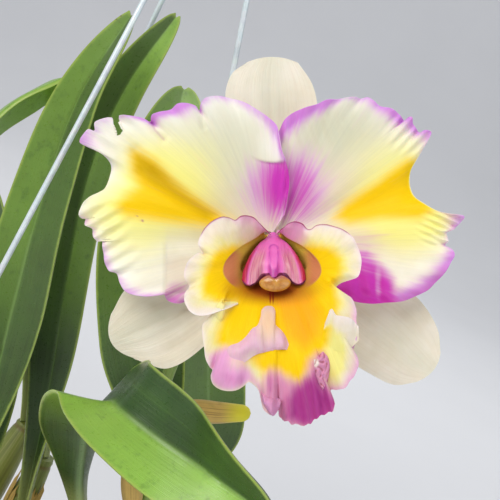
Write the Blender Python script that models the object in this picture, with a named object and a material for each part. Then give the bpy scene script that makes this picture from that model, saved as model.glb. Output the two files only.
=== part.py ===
"""A cattleya orchid in bloom, in a clay pot that hangs on three wires and a hook.

The origin is the point inside the top of the hook where it bears on its support. +Z is up and
the pot stands on the Z axis below it. The bloom faces -Y. Lengths are written in millimetres
and turned into metres where a mesh is made.
"""

import math
import random

import bpy
import bmesh
from mathutils import Matrix, Vector

MM = 0.001
GAP = 0.3

# Heights on the hanging axis
RIM_Z = -420.0
MEDIUM_Z = -446.0
POT_BASE_Z = -550.0

# Pot
POT_SIDES = 32
POT_BASE_RADIUS = 52.0
POT_BAND_RADIUS = 77.0
POT_BAND_HEIGHT = 24.0
POT_WALL = 5.5
POT_FLOOR = 8.0
DRAIN_RADIUS = 5.0
DRAIN_RING = 27.0

# Hanger
WIRE_RADIUS = 1.2
WIRE_HOLE_RADIUS = 1.6
WIRE_TOP_RADIUS = 4.6
WIRE_TOP_Z = -37.0
WIRE_FOOT_RADIUS = 81.0
WIRE_HOLE_Z = -431.0
WIRE_ANGLES = (0.0, 120.0, 240.0)
COLLAR_RADIUS = 9.0
COLLAR_TOP = -30.0
COLLAR_BOTTOM = -44.0
HOOK_WIRE_RADIUS = 1.6
HOOK_INNER_RADIUS = 11.0

# Bloom: where its middle is, how far it leans to its own right, and how far it looks up
BLOOM_CENTRE = Vector((70.0, -60.0, -205.0))
BLOOM_LEAN = math.radians(23.0)
BLOOM_LIFT = math.radians(13.0)
PETAL_THICK = 0.8
SEPAL_THICK = 1.0
LIP_THICK = 0.8
LEAF_THICK = 1.7

# Chips of bark over the medium
CHIP_COUNT = 38
CHIP_SEED = 7


def bloom_matrix():
    """Turns the bloom's own right, up and forward, in millimetres, into the part's frame."""
    level = Vector((1, 0, 0))
    rise = Vector((0, math.sin(BLOOM_LIFT), math.cos(BLOOM_LIFT)))
    right = math.cos(BLOOM_LEAN) * level + math.sin(BLOOM_LEAN) * rise
    up = math.cos(BLOOM_LEAN) * rise - math.sin(BLOOM_LEAN) * level
    out = Vector((0, -math.cos(BLOOM_LIFT), math.sin(BLOOM_LIFT)))
    turn = Matrix((right, up, out)).transposed().to_4x4()
    return Matrix.Translation(BLOOM_CENTRE) @ turn


BLOOM = bloom_matrix()
LEVEL = Matrix.Identity(4)


# Curves and blends

def smooth(t):
    """An even step from 0 to 1."""
    t = min(1.0, max(0.0, t))
    return t * t * (3 - 2 * t)


def mix(a, b, t):
    return a + (b - a) * t


def curve_point(points, t):
    """The point at share t, 0 to 1, of a smooth line through the points, counted by point."""
    last = len(points) - 1
    at = min(max(t, 0.0), 1.0) * last
    i = min(int(at), last - 1)
    f = at - i
    p1 = Vector(points[i])
    p2 = Vector(points[i + 1])
    p0 = Vector(points[i - 1]) if i > 0 else 2 * p1 - p2
    p3 = Vector(points[i + 2]) if i + 2 <= last else 2 * p2 - p1
    return 0.5 * (2 * p1 + (p2 - p0) * f + (2 * p0 - 5 * p1 + 4 * p2 - p3) * f ** 2
                  + (3 * p1 - p0 - 3 * p2 + p3) * f ** 3)


def even_points(points, count, steps=24):
    """Points at even distances along the smooth line through the given ones."""
    total = (len(points) - 1) * steps
    fine = [curve_point(points, i / total) for i in range(total + 1)]
    run = [0.0]
    for a, b in zip(fine, fine[1:]):
        run.append(run[-1] + (b - a).length)
    made = []
    k = 0
    for i in range(count):
        want = run[-1] * i / (count - 1)
        while k < total - 1 and run[k + 1] < want:
            k += 1
        span = run[k + 1] - run[k] or 1.0
        made.append(fine[k].lerp(fine[k + 1], min(1.0, (want - run[k]) / span)))
    return made


# Meshes and materials

def material(name, colour, roughness, metallic=0.0):
    made = bpy.data.materials.get(name)
    if made:
        return made
    made = bpy.data.materials.new(name)
    made.use_nodes = True
    shader = made.node_tree.nodes["Principled BSDF"]
    shader.inputs["Base Color"].default_value = (*colour, 1.0)
    shader.inputs["Roughness"].default_value = roughness
    shader.inputs["Metallic"].default_value = metallic
    return made


def mesh_object(name, points, faces, finish, place=LEVEL):
    """An object from points in millimetres, placed by a matrix that also works in them."""
    mesh = bpy.data.meshes.new(name)
    mesh.from_pydata([tuple((place @ Vector(p)) * MM) for p in points], [], faces)
    mesh.materials.append(finish)
    made = bpy.data.objects.new(name, mesh)
    bpy.context.scene.collection.objects.link(made)
    edit = bmesh.new()
    edit.from_mesh(mesh)
    bmesh.ops.recalc_face_normals(edit, faces=edit.faces)
    edit.to_mesh(mesh)
    edit.free()
    mesh.shade_smooth()
    mesh.set_sharp_from_angle(angle=math.radians(40))
    return made


def grid_normals(grid):
    """The sum of the normals of the faces round each point of a grid."""
    columns = len(grid)
    rows = len(grid[0])
    normals = [[Vector((0, 0, 0)) for _ in range(rows)] for _ in range(columns)]
    for i in range(columns - 1):
        for j in range(rows - 1):
            a, b = grid[i][j], grid[i + 1][j]
            c, d = grid[i + 1][j + 1], grid[i][j + 1]
            n = (c - a).cross(d - b)
            for p, q in ((i, j), (i + 1, j), (i + 1, j + 1), (i, j + 1)):
                normals[p][q] += n
    return normals


def eased_normals(grid, rounds):
    """The grid's normals averaged with their neighbours', so they run evenly over its folds."""
    normals = [[n.normalized() for n in column] for column in grid_normals(grid)]
    columns = len(grid)
    rows = len(grid[0])
    for _ in range(rounds):
        eased = []
        for i in range(columns):
            column = []
            for j in range(rows):
                total = normals[i][j].copy()
                for p, q in ((i - 1, j), (i + 1, j), (i, j - 1), (i, j + 1)):
                    if 0 <= p < columns and 0 <= q < rows:
                        total += normals[p][q]
                column.append(total.normalized())
            eased.append(column)
        normals = eased
    return normals


def blade_solid(name, grid, thick, finish, place=LEVEL, way=None, flat_foot=False):
    """A thin closed blade whose front is a grid of points, both faces split alike.

    grid[i][j] is a point; thick is a number or a function of (i, j). The back lies behind the
    front along the face's own normal, or along way(i, j), further where the face is steep to it,
    so that folds don't cross. A flat foot keeps its first row level."""
    columns = len(grid)
    rows = len(grid[0])
    normals = grid_normals(grid)
    depth = thick if callable(thick) else (lambda i, j: thick)
    front = [grid[i][j] for i in range(columns) for j in range(rows)]
    back = []
    for i in range(columns):
        for j in range(rows):
            n = normals[i][j].normalized()
            if flat_foot and j == 0:
                n = Vector((n.x, n.y, 0.0)).normalized()
            step = n * depth(i, j)
            if way:
                step = way(i, j) * (depth(i, j) / max(0.5, abs(n.dot(way(i, j)))))
            back.append(grid[i][j] - step)
    shift = columns * rows

    def at(i, j):
        return i * rows + j

    faces = []
    for i in range(columns - 1):
        for j in range(rows - 1):
            a, b, c, d = at(i, j), at(i + 1, j), at(i + 1, j + 1), at(i, j + 1)
            for tri in ((a, b, c), (a, c, d)):
                faces.append(tri)
                faces.append(tuple(shift + k for k in reversed(tri)))
    rim = [at(i, 0) for i in range(columns)]
    rim += [at(columns - 1, j) for j in range(1, rows)]
    rim += [at(i, rows - 1) for i in range(columns - 2, -1, -1)]
    rim += [at(0, j) for j in range(rows - 2, 0, -1)]
    for a, b in zip(rim, rim[1:] + rim[:1]):
        faces.append((b, a, shift + a))
        faces.append((b, shift + a, shift + b))
    return mesh_object(name, front + back, faces, finish, place)


def loft_solid(name, loops, finish, place=LEVEL):
    """A closed solid through loops of points, with a flat cap at each end."""
    count = len(loops[0])
    points = [p for loop in loops for p in loop]
    faces = []
    for k in range(len(loops) - 1):
        for i in range(count):
            a = k * count + i
            b = k * count + (i + 1) % count
            faces.append((a, b, b + count, a + count))
    first = tuple(range(count))
    last = tuple((len(loops) - 1) * count + i for i in range(count))
    faces.append(tuple(reversed(first)))
    faces.append(last)
    return mesh_object(name, points, faces, finish, place)


def tube_loops(path, radius, sides, ribs=0, rib_depth=0.0, squash=1.0):
    """Rings of points round a path of vectors; radius is a number or a function of the share."""
    size = radius if callable(radius) else (lambda t: radius)
    loops = []
    side = None
    for k, p in enumerate(path):
        ahead = path[min(k + 1, len(path) - 1)] - path[max(k - 1, 0)]
        ahead.normalize()
        if side is None:
            hint = Vector((0, 1, 0)) if abs(ahead.y) < 0.8 else Vector((1, 0, 0))
            side = hint.cross(ahead).normalized()
        side = (side - ahead * side.dot(ahead)).normalized()
        other = ahead.cross(side)
        r = size(k / (len(path) - 1))
        loop = []
        for i in range(sides):
            a = 2 * math.pi * i / sides
            rib = 1 + rib_depth * math.cos(ribs * a) if ribs else 1.0
            loop.append(p + side * (math.cos(a) * r * rib) + other * (math.sin(a) * r * rib * squash))
        loops.append(loop)
    return loops


def tube(name, path, radius, sides, finish, place=LEVEL, **more):
    return loft_solid(name, tube_loops(path, radius, sides, **more), finish, place)


def lathe(name, profile, sides, finish):
    """A solid turned round Z from a closed profile of (radius, height)."""
    points = []
    for r, z in profile:
        for i in range(sides):
            a = 2 * math.pi * i / sides
            points.append((r * math.cos(a), r * math.sin(a), z))
    faces = []
    for k in range(len(profile) - 1):
        for i in range(sides):
            a = k * sides + i
            b = k * sides + (i + 1) % sides
            faces.append((a, b, b + sides, a + sides))
    faces.append(tuple(reversed(range(sides))))
    faces.append(tuple((len(profile) - 1) * sides + i for i in range(sides)))
    return mesh_object(name, points, faces, finish)


def cylinder_between(name, start, end, radius, sides, finish):
    return tube(name, [Vector(start), Vector(end)], radius, sides, finish)


def cut(target, cutters):
    """Takes the cutters' shapes out of the target, and removes them."""
    for cutter in cutters:
        step = target.modifiers.new("hole", "BOOLEAN")
        step.operation = "DIFFERENCE"
        step.object = cutter
    bake(target)
    for cutter in cutters:
        bpy.data.objects.remove(cutter)


def join_solids(target, others):
    """Fuses the others with the target into one body."""
    for other in others:
        step = target.modifiers.new("fuse", "BOOLEAN")
        step.operation = "UNION"
        step.object = other
    bake(target)
    for other in others:
        bpy.data.objects.remove(other)


def bake(target):
    bpy.context.view_layer.update()
    ready = target.evaluated_get(bpy.context.evaluated_depsgraph_get())
    mesh = bpy.data.meshes.new_from_object(ready)
    target.modifiers.clear()
    target.data = mesh
    mesh.shade_smooth()
    mesh.set_sharp_from_angle(angle=math.radians(40))


# Finishes

def finishes():
    return {
        "petal": material("petal", (0.86, 0.80, 0.58), 0.55),
        "sepal": material("sepal", (0.80, 0.74, 0.60), 0.55),
        "lip": material("lip", (0.92, 0.60, 0.08), 0.5),
        "column": material("column", (0.66, 0.13, 0.42), 0.4),
        "anther": material("anther", (0.80, 0.68, 0.38), 0.4),
        "leaf": material("leaf", (0.10, 0.24, 0.04), 0.38),
        "stalk": material("stalk", (0.30, 0.42, 0.12), 0.5),
        "bulb": material("bulb", (0.26, 0.34, 0.09), 0.5),
        "husk": material("husk", (0.52, 0.44, 0.28), 0.8),
        "root": material("root", (0.62, 0.60, 0.50), 0.8),
        "bark": material("bark", (0.16, 0.09, 0.05), 0.95),
        "clay": material("clay", (0.58, 0.25, 0.13), 0.9),
        "steel": material("steel", (0.62, 0.66, 0.70), 0.4, 1.0),
    }


# Bloom. Outlines are (right, up, forward) in millimetres from the middle of the bloom.

LEFT_PETAL_HEART = Vector((-1.5, 3.0, -1.6))
LEFT_PETAL_MARGIN = [
    (4.8, 13.0, 1.0), (7.0, 22.0, 2.0), (5.5, 32.7, 3.0), (4.0, 38.0, 2.5), (1.8, 47.8, 2.5),
    (-5.0, 53.0, 0.5), (-14.7, 56.2, -1.0), (-23.0, 56.2, 1.5), (-26.8, 51.8, -2.5),
    (-31.2, 53.7, 0.5), (-38.2, 51.5, 3.5), (-43.6, 49.2, 2.0), (-44.5, 46.7, -3.0),
    (-48.9, 48.9, 0.0), (-56.6, 48.9, 3.5), (-57.3, 45.0, -0.5), (-61.5, 47.4, 1.5),
    (-67.3, 43.7, 3.0), (-70.0, 40.2, 1.5), (-63.8, 35.4, -3.0), (-59.2, 30.9, -4.5),
    (-61.7, 22.4, -3.0), (-67.5, 17.4, 2.0), (-69.8, 12.1, 4.0), (-66.2, 9.2, 0.0),
    (-63.2, 3.5, 3.5), (-60.6, -4.6, 0.0), (-56.6, -8.5, 2.5), (-51.8, -14.7, 2.0),
    (-43.0, -17.3, 3.5), (-38.4, -17.0, 4.0), (-34.2, -19.8, 0.5), (-30.0, -18.0, -2.0),
    (-20.0, -13.0, -2.5), (-11.0, -6.5, -2.5),
]
RIGHT_PETAL_HEART = Vector((2.5, 3.0, -3.9))
RIGHT_PETAL_MARGIN = [
    (-1.0, 13.0, -3.8), (-1.5, 24.0, -4.2), (0.0, 34.0, -4.0), (3.3, 44.1, -2.5),
    (6.2, 47.8, -1.0), (11.0, 51.5, 1.0), (16.9, 53.7, 2.5), (25.8, 55.6, 2.0),
    (34.5, 55.9, -0.5), (39.7, 53.7, 1.5), (44.5, 51.5, -0.5), (47.8, 49.2, 2.5),
    (51.4, 48.1, -0.5), (54.0, 45.2, 3.0), (58.4, 43.4, 1.0), (56.6, 39.0, -1.5),
    (53.4, 32.0, -3.5), (51.4, 24.5, -4.0), (54.6, 18.8, -2.0), (61.0, 14.4, 2.5),
    (70.2, 12.5, 4.0), (67.5, 8.6, -1.0), (64.8, 5.2, 2.5), (66.5, -1.5, 3.0),
    (63.2, -9.6, 1.0), (58.4, -14.7, 3.0), (50.0, -18.2, 0.5), (42.0, -19.0, 3.0),
    (31.6, -19.1, 1.0), (23.9, -14.0, -2.0), (12.0, -6.5, -3.5),
]
PETAL_ROWS = 8
SEPAL_SEAT_Z = -5.8

DORSAL_LEFT = [(-4.0, 5.4), (-7.5, 20.0), (-13.5, 40.0), (-16.9, 56.0), (-14.8, 65.5),
               (-9.0, 70.2)]
DORSAL_RIGHT = [(4.0, 5.4), (8.0, 20.0), (14.0, 38.0), (17.3, 52.0), (15.6, 62.0),
                (10.4, 70.0)]
SEPAL_LEFT_UPPER = [(-2.5, -0.5), (-18.0, -3.5), (-38.0, -8.0), (-53.0, -13.5), (-59.8, -24.0)]
SEPAL_LEFT_LOWER = [(-0.8, -6.0), (-12.0, -20.0), (-25.0, -36.0), (-38.6, -44.4), (-50.0, -40.8)]
SEPAL_RIGHT_UPPER = [(3.5, -0.5), (20.0, -3.0), (41.0, -8.5), (55.0, -18.0), (62.4, -29.0),
                     (63.8, -38.6)]
SEPAL_RIGHT_LOWER = [(1.8, -6.0), (13.0, -23.0), (26.0, -38.5), (38.0, -46.8), (46.5, -50.6),
                     (54.4, -49.6)]

LIP_MARGIN = [
    (-2.8, 7.2, 15.8), (-5.8, 10.6, 18.6), (-8.6, 12.0, 22.0), (-12.4, 10.4, 24.0),
    (-17.1, 11.3, 28.0), (-22.6, 8.2, 29.0), (-25.3, 2.7, 27.0), (-23.3, -1.2, 30.0),
    (-28.0, -3.1, 31.0), (-29.8, -8.6, 28.0), (-28.2, -12.4, 31.5), (-29.8, -16.4, 29.0),
    (-25.7, -21.9, 31.0), (-20.5, -21.5, 34.0), (-15.8, -20.6, 35.4), (-16.5, -24.5, 34.0),
    (-19.6, -31.5, 32.0), (-22.4, -38.0, 32.0), (-21.2, -43.0, 33.0), (-19.5, -46.2, 35.0),
    (-14.0, -48.2, 38.0), (-7.5, -45.1, 34.0), (-4.5, -50.0, 32.0), (-0.5, -56.0, 35.0),
    (4.1, -56.6, 29.0), (10.6, -60.0, 31.0), (17.0, -57.4, 28.0), (21.4, -53.4, 30.0),
    (19.6, -47.8, 27.5), (25.3, -47.2, 30.0), (30.1, -39.7, 33.0), (29.2, -31.0, 30.0),
    (29.8, -24.0, 33.0), (26.4, -16.4, 30.0), (22.2, -12.8, 27.5), (29.1, -7.9, 31.0),
    (30.8, -2.1, 29.0), (27.0, 4.4, 31.0), (20.5, 8.6, 28.5), (12.2, 6.6, 26.0),
    (8.6, 9.2, 22.0), (5.8, 9.6, 18.6), (3.8, 7.4, 15.8),
]
LIP_FOLD_SEAT = [(-19.0, -34.5, 33.4), (-14.0, -36.0, 35.8), (-8.0, -36.4, 36.0), (-2.0, -35.6, 34.4),
                 (4.8, -34.0, 31.6)]
LIP_FOLD_EDGE = [(-18.6, -30.0, 37.4), (-12.0, -30.2, 40.0), (-6.6, -26.6, 41.0), (-1.4, -19.2, 38.6),
                 (5.2, -30.4, 38.0)]
LIP_EYE = Vector((0.3, -5.5, 0.0))
LIP_ROWS_IN = 4
LIP_ROWS_OUT = 5


def petal_grid(heart, margin, rows, bow, wave_reach=2.4):
    """A petal fanned out from its heart to its waved margin, one column for each outline point."""
    claw = 4.0
    grid = []
    for x, y, z in margin:
        flat = Vector((x, y, 0.0)) - Vector((heart.x, heart.y, 0.0))
        start = Vector((heart.x, heart.y, 0.0)) + flat.normalized() * claw
        column = []
        for j in range(rows):
            v = j / (rows - 1)
            p = start.lerp(Vector((x, y, 0.0)), v)
            p.z = heart.z + bow * math.sin(math.pi * v) * smooth(v * 3)
            p.z += (z - heart.z) * v ** wave_reach
            column.append(p)
        grid.append(column)
    return grid


def sepal_grid(one, other, columns, rows, base_z, bow, tip_z, nose):
    """A sepal between two edges that start at its claw and close in on its rounded tip."""
    left = even_points([(x, y, 0.0) for x, y in one], 60)
    right = even_points([(x, y, 0.0) for x, y in other], 60)
    tip_way = (left[-1] + right[-1] - left[0] - right[0]).normalized()
    grid = []
    for i in range(columns):
        u = i / (columns - 1)
        column = []
        for j in range(rows):
            v = 1 - (1 - j / (rows - 1)) ** 1.35
            k = v * 59
            a = left[int(k)].lerp(left[min(59, int(k) + 1)], k - int(k))
            b = right[int(k)].lerp(right[min(59, int(k) + 1)], k - int(k))
            p = a.lerp(b, u)
            hollow = (2 * u - 1) ** 2
            p += tip_way * (nose * (1 - hollow) * v ** 6)
            p.z = base_z + (tip_z - base_z) * v ** 2 + bow * math.sin(math.pi * v)
            p.z += 2.4 * hollow * math.sin(math.pi * min(1.0, v * 1.1)) * (b - a).length / 36
            column.append(p)
        grid.append(column)
    return grid


def lip_angles():
    """The turn of each lip column round the throat, kept rising where the margin folds back."""
    turns = []
    for x, y, _ in LIP_MARGIN:
        a = math.atan2(y - LIP_EYE.y, x - LIP_EYE.x) - math.radians(100)
        turns.append(a % (2 * math.pi))
    turns[0] = 0.0
    turns[-1] = math.radians(340)
    for _ in range(6):
        inner = [(turns[i - 1] + 2 * turns[i] + turns[i + 1]) / 4 for i in range(1, len(turns) - 1)]
        turns = [turns[0]] + inner + [turns[-1]]
    return [t + math.radians(100) for t in turns]


def lip_rings(turn):
    """Points of the lip inside the throat, on the way out: seat, tube and the throat's brim."""
    c, s = math.cos(turn), math.sin(turn)
    top = max(0.0, s) ** 4
    parting = max(0.0, s) ** 30
    aside = math.copysign(parting, c)
    seat = Vector((LIP_EYE.x + 6.6 * c, -1.2 + 6.4 * s, 1.5))
    tube_wall = Vector((LIP_EYE.x + 12.6 * c + 2.2 * aside, -3.6 + 8.6 * s + 0.8 * parting,
                        15.0 - 6.5 * top))
    low = max(0.0, -s)
    brim = Vector((LIP_EYE.x + 16.8 * c + 1.6 * aside,
                   LIP_EYE.y + 9.0 * s + 1.6 * parting + 1.4 * top - 2.4 * low ** 3,
                   27.5 - 15.5 * top - 3.8 * low ** 2))
    return seat, tube_wall, brim


def lip_grid(rows_in=LIP_ROWS_IN, rows_out=LIP_ROWS_OUT):
    grid = []
    turns = lip_angles()
    for turn, margin in zip(turns, LIP_MARGIN):
        seat, wall, brim = lip_rings(turn)
        edge = Vector(margin)
        side = abs(math.cos(turn))
        lift = 3.0 + 3.0 * max(0.0, -math.sin(turn)) - 1.0 * side
        lift = min(lift, 0.3 * (edge - brim).length)
        half = brim.lerp(edge, 0.5)
        half.z = mix(brim.z, edge.z, 0.5) + lift
        line = [seat, wall, brim, half, edge]
        inner = [curve_point(line[:3] + [half], j / (rows_in - 1) * 2 / 3) for j in range(rows_in)]
        outer = [curve_point([wall, brim, half, edge], mix(1 / 3, 1.0, j / rows_out))
                 for j in range(1, rows_out + 1)]
        grid.append(inner + outer)
    return grid


def lip_fold_grid():
    """The pale flap that stands on the middle of the lip, from its left margin to a tongue."""
    grid = []
    for i in range(9):
        low = curve_point(LIP_FOLD_SEAT, i / 8)
        high = curve_point(LIP_FOLD_EDGE, i / 8)
        middle = low.lerp(high, 0.5) + Vector((0, 0, 1.6))
        grid.append([curve_point([low, middle, high], v / 3) for v in range(4)])
    return grid


def make_bloom(finish):
    forward = Vector((0, 0, 1))

    def ahead(i, j):
        return forward

    left = petal_grid(LEFT_PETAL_HEART, LEFT_PETAL_MARGIN, PETAL_ROWS, 2.5)
    left.reverse()
    right = petal_grid(RIGHT_PETAL_HEART, RIGHT_PETAL_MARGIN, PETAL_ROWS, 1.5)
    for name, grid in (("petal_left", left), ("petal_right", right)):
        blade_solid(name, grid, PETAL_THICK, finish["petal"], BLOOM, way=ahead)
    sepals = (
        ("sepal_top", DORSAL_LEFT, DORSAL_RIGHT, 12, -2.0, -8.0, 2.2),
        ("sepal_left", SEPAL_LEFT_UPPER, SEPAL_LEFT_LOWER, 11, -3.0, -9.0, 5.4),
        ("sepal_right", SEPAL_RIGHT_UPPER, SEPAL_RIGHT_LOWER, 11, -3.0, -9.0, 2.2),
    )
    for name, one, other, rows, bow, tip_z, nose in sepals:
        grid = sepal_grid(one, other, 7, rows, SEPAL_SEAT_Z, bow, tip_z, nose)
        blade_solid(name, grid, SEPAL_THICK, finish["sepal"], BLOOM, way=ahead)
    grid = lip_grid()
    facing = eased_normals(grid, 4)
    lip = blade_solid("lip", grid, LIP_THICK, finish["lip"], BLOOM, way=lambda i, j: -facing[i][j])
    fold = blade_solid("fold", lip_fold_grid(), LIP_THICK, finish["lip"], BLOOM)
    join_solids(lip, [fold])


# Column and anther cap

COLUMN_STATIONS = [
    # height, forward, half width, crown, how far the section tips forward (degrees)
    (2.8, -6.8, 1.7, 1.7, 0.0),
    (2.8, -1.0, 1.7, 1.7, 0.0),
    (3.6, 3.5, 1.7, 1.8, 0.0),
    (4.4, 7.5, 2.0, 2.2, 15.0),
    (3.6, 10.5, 2.7, 2.0, 35.0),
    (1.6, 14.0, 4.6, 2.0, 45.0),
    (-2.8, 18.0, 7.6, 2.2, 48.0),
    (-7.2, 21.4, 9.8, 2.2, 50.0),
    (-11.2, 23.6, 10.6, 2.0, 52.0),
]
HOOD_WALL = 1.9
ANTHER_MIDDLE = Vector((0.9, -11.6, 26.5))
ANTHER_SIZE = (5.4, 3.1, 1.9)


def column_loops():
    """The column: a round foot that widens forward into a hood with a notch in its end."""
    loops = []
    for k, (y, z, half, crown, tip) in enumerate(COLUMN_STATIONS):
        lean = math.radians(tip)
        hollow = smooth((z - 6.0) / 8.0)
        loop = []
        for i in range(7):
            a = math.pi * i / 6
            loop.append((half * math.cos(a), crown * math.sin(a)))
        for i in range(1, 6):
            a = math.pi + math.pi * i / 6
            round_under = (half * math.cos(a), crown * math.sin(a))
            inside = half - 0.5 * HOOD_WALL
            hooded = (inside * math.cos(a), (HOOD_WALL - crown) * math.sin(a) - 0.2)
            loop.append((mix(round_under[0], hooded[0], hollow), mix(round_under[1], hooded[1], hollow)))
        placed = []
        for x, n in loop:
            p = Vector((0.6 + x, y + n * math.cos(lean), z + n * math.sin(lean)))
            if k == len(COLUMN_STATIONS) - 1:
                notch = 3.4 * max(0.0, 1 - (x / 6.5) ** 2)
                p += Vector((0.0, notch * math.sin(lean), -notch * math.cos(lean)))
            placed.append(p)
        loops.append(placed)
    return loops


def anther_loops():
    """The cap at the column's end: a flattened kidney with its dent at the top."""
    loops = []
    for k in range(9):
        a = math.pi * (k + 0.35) / 8.7 - math.pi / 2
        x = ANTHER_SIZE[0] * math.sin(a)
        girth = math.cos(a)
        loop = []
        for i in range(10):
            b = 2 * math.pi * i / 10
            y = ANTHER_SIZE[1] * girth * math.sin(b)
            dent = 1.5 * max(0.0, math.sin(b)) ** 2 * math.exp(-(x / 1.6) ** 2)
            z = ANTHER_SIZE[2] * girth * math.cos(b)
            loop.append(ANTHER_MIDDLE + Vector((x, y - dent, z)))
        loops.append(loop)
    return loops


# Stalk, leaves and bulbs: points are the part's own X, Y and Z in millimetres

STALK_TOP_Z = -7.5
STALK_LINE = [(66.8, -32.2, -341.8), (60.0, -36.0, -314.0), (53.0, -38.0, -284.0),
              (53.0, -39.0, -253.0), (60.0, -40.0, -229.0)]
OVARY_LENGTH = 17.0
SHEATH_LINE = [(63.5, -36.9, -341.2), (54.0, -42.5, -314.0), (55.0, -45.0, -294.0),
               (65.0, -41.0, -283.5), (77.0, -37.0, -280.0), (89.0, -33.0, -276.5)]

# name, centre line, half width, side vectors from foot to tip, channel depth, where it starts to narrow
LEAVES = [
    ("leaf_front",
     [(42, -38.5, -345.5), (36, -46.5, -328), (32.5, -55, -310.5), (30.5, -64.5, -295), (32.5, -75, -282),
      (38, -87.5, -272.5), (43, -100.5, -269), (56, -108.5, -269.5), (70.5, -115.5, -269.5),
      (83, -123.5, -269), (94, -128.5, -269.5), (101.5, -131.5, -271), (107, -133.5, -271.5)],
     18.5, [(-0.72, -0.36, -0.54), (-0.64, -0.32, -0.64), (-0.79, -0.14, -0.65), (-0.34, -0.33, -0.61),
            (-0.05, 0.17, -0.66)], 10.0, 0.66),
    ("leaf_middle",
     [(69.5, -22.8, -342.5), (56, -18, -307), (37, -15, -274), (24, -14, -246), (17.5, -12, -218),
      (15.5, -4, -191), (11.5, 5, -169.5)],
     17.5, [(0.95, 0.20, 0.20), (0.92, 0.09, 0.38)], 4.0, 0.64),
    ("leaf_left",
     [(-8.4, -20.2, -372.5), (-14, -16, -325), (-20.5, -11, -280), (-25, -10, -235), (-26, -8, -190),
      (-18, -4, -149)],
     15.5, [(0.98, 0.05, 0.1), (0.98, -0.18, 0.05)], 4.5, 0.06),
    ("leaf_behind",
     [(15, 6, -381.5), (4, 15, -323), (-8, 19, -268), (-15, 18, -222), (-13, 15, -182), (-3.5, 17, -144)],
     12.5, [(0.95, -0.3, 0.0), (0.93, -0.2, -0.3)], 4.0, 0.5),
    ("leaf_far_left",
     [(-4.0, -11.8, -372.5), (-18, 1, -326), (-36, 12, -292), (-48, 21, -265), (-66, 24, -242),
      (-87, 24, -226)],
     14.0, [(0.8, 0.5, 0.2), (0.35, -0.5, 0.8)], 4.0, 0.66),
    ("leaf_arching",
     [(-5, 58, -359.5), (-21, 70, -303), (-33, 76, -246), (-40, 76, -210), (-49, 71, -199),
      (-59, 63, -208), (-69, 55, -224), (-76, 46, -249), (-79, 39, -272)],
     15.0, [(0.9, -0.3, 0.0), (0.1, -0.7, 0.7)], 4.0, 0.66),
    ("leaf_young",
     [(12, 28, -358.5), (5, 29, -330), (-3, 30, -300), (-13, 33, -271)],
     7.0, [(0.75, -0.6, 0.1), (0.75, -0.6, 0.2)], 3.0, 0.66),
    ("leaf_right",
     [(62, 29, -364.5), (76, 27, -322), (68, 27, -290), (52, 31, -262), (40, 37, -240)],
     17.0, [(0.9, 0.4, 0.0), (0.9, 0.4, 0.2)], 4.5, 0.66),
]

# name, foot on the rhizome, top, greatest radius
BULBS = [
    ("bulb_front", (22.0, -34.0), (42.0, -38.5, -346.0), 8.8),
    ("bulb_flowering", (45.0, -13.0), (67.5, -28.0, -343.0), 9.6),
    ("bulb_left", (-14.0, -14.0), (-6.0, -16.0, -373.0), 9.4),
    ("bulb_middle", (4.0, 9.0), (15.0, 6.0, -382.0), 8.6),
    ("bulb_young", (6.0, 31.0), (12.0, 28.0, -359.0), 7.4),
    ("bulb_rear", (-16.0, 47.0), (-5.0, 58.0, -360.0), 9.0),
    ("bulb_right", (38.0, 26.0), (62.0, 29.0, -365.0), 9.2),
    ("bulb_old", (-44.0, -8.0), (-53.0, -16.0, -392.0), 8.8),
]
BULB_FOOT_Z = -435.2
RHIZOME_RADIUS = 5.0
RHIZOMES = [
    ("rhizome_front", [(-52, -6), (-44, -8), (-14, -14), (6, -25), (22, -34), (36, -25), (45, -13),
                       (50, -4)]),
    ("rhizome_middle", [(-4.5, -6.5), (4, 9), (7, 20), (6, 31), (-4, 41), (-16, 47), (-25, 50)]),
    ("rhizome_right", [(16.6, 30.0), (27, 29), (38, 26), (48, 21)]),
]
ROOT_RADIUS = 2.2
ROOTS = [
    ("root_front", [(27, -40.5), (36, -46), (44, -42), (54, -30), (60, -14)]),
    ("root_left", [(-48, -15.4), (-53, -24), (-46, -36), (-34, -44), (-20, -50)]),
    ("root_rear", [(-30.5, 46.0), (-38, 38), (-50, 30), (-56, 14), (-58, 4)]),
    ("root_right", [(52.0, 14.0), (58, 6), (60, -2)]),
]
ROOT_OVER_RIM = [(-49.6, 1.6, -440.0), (-57.0, 4.0, -435.6), (-65.0, 6.0, -423.0),
                 (-70.5, 9.0, -417.3), (-76.0, 12.0, -417.5), (-79.5, 14.5, -424.0),
                 (-79.5, 17.0, -440.0), (-77.5, 19.0, -458.0), (-77.0, 20.0, -476.0)]


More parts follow.
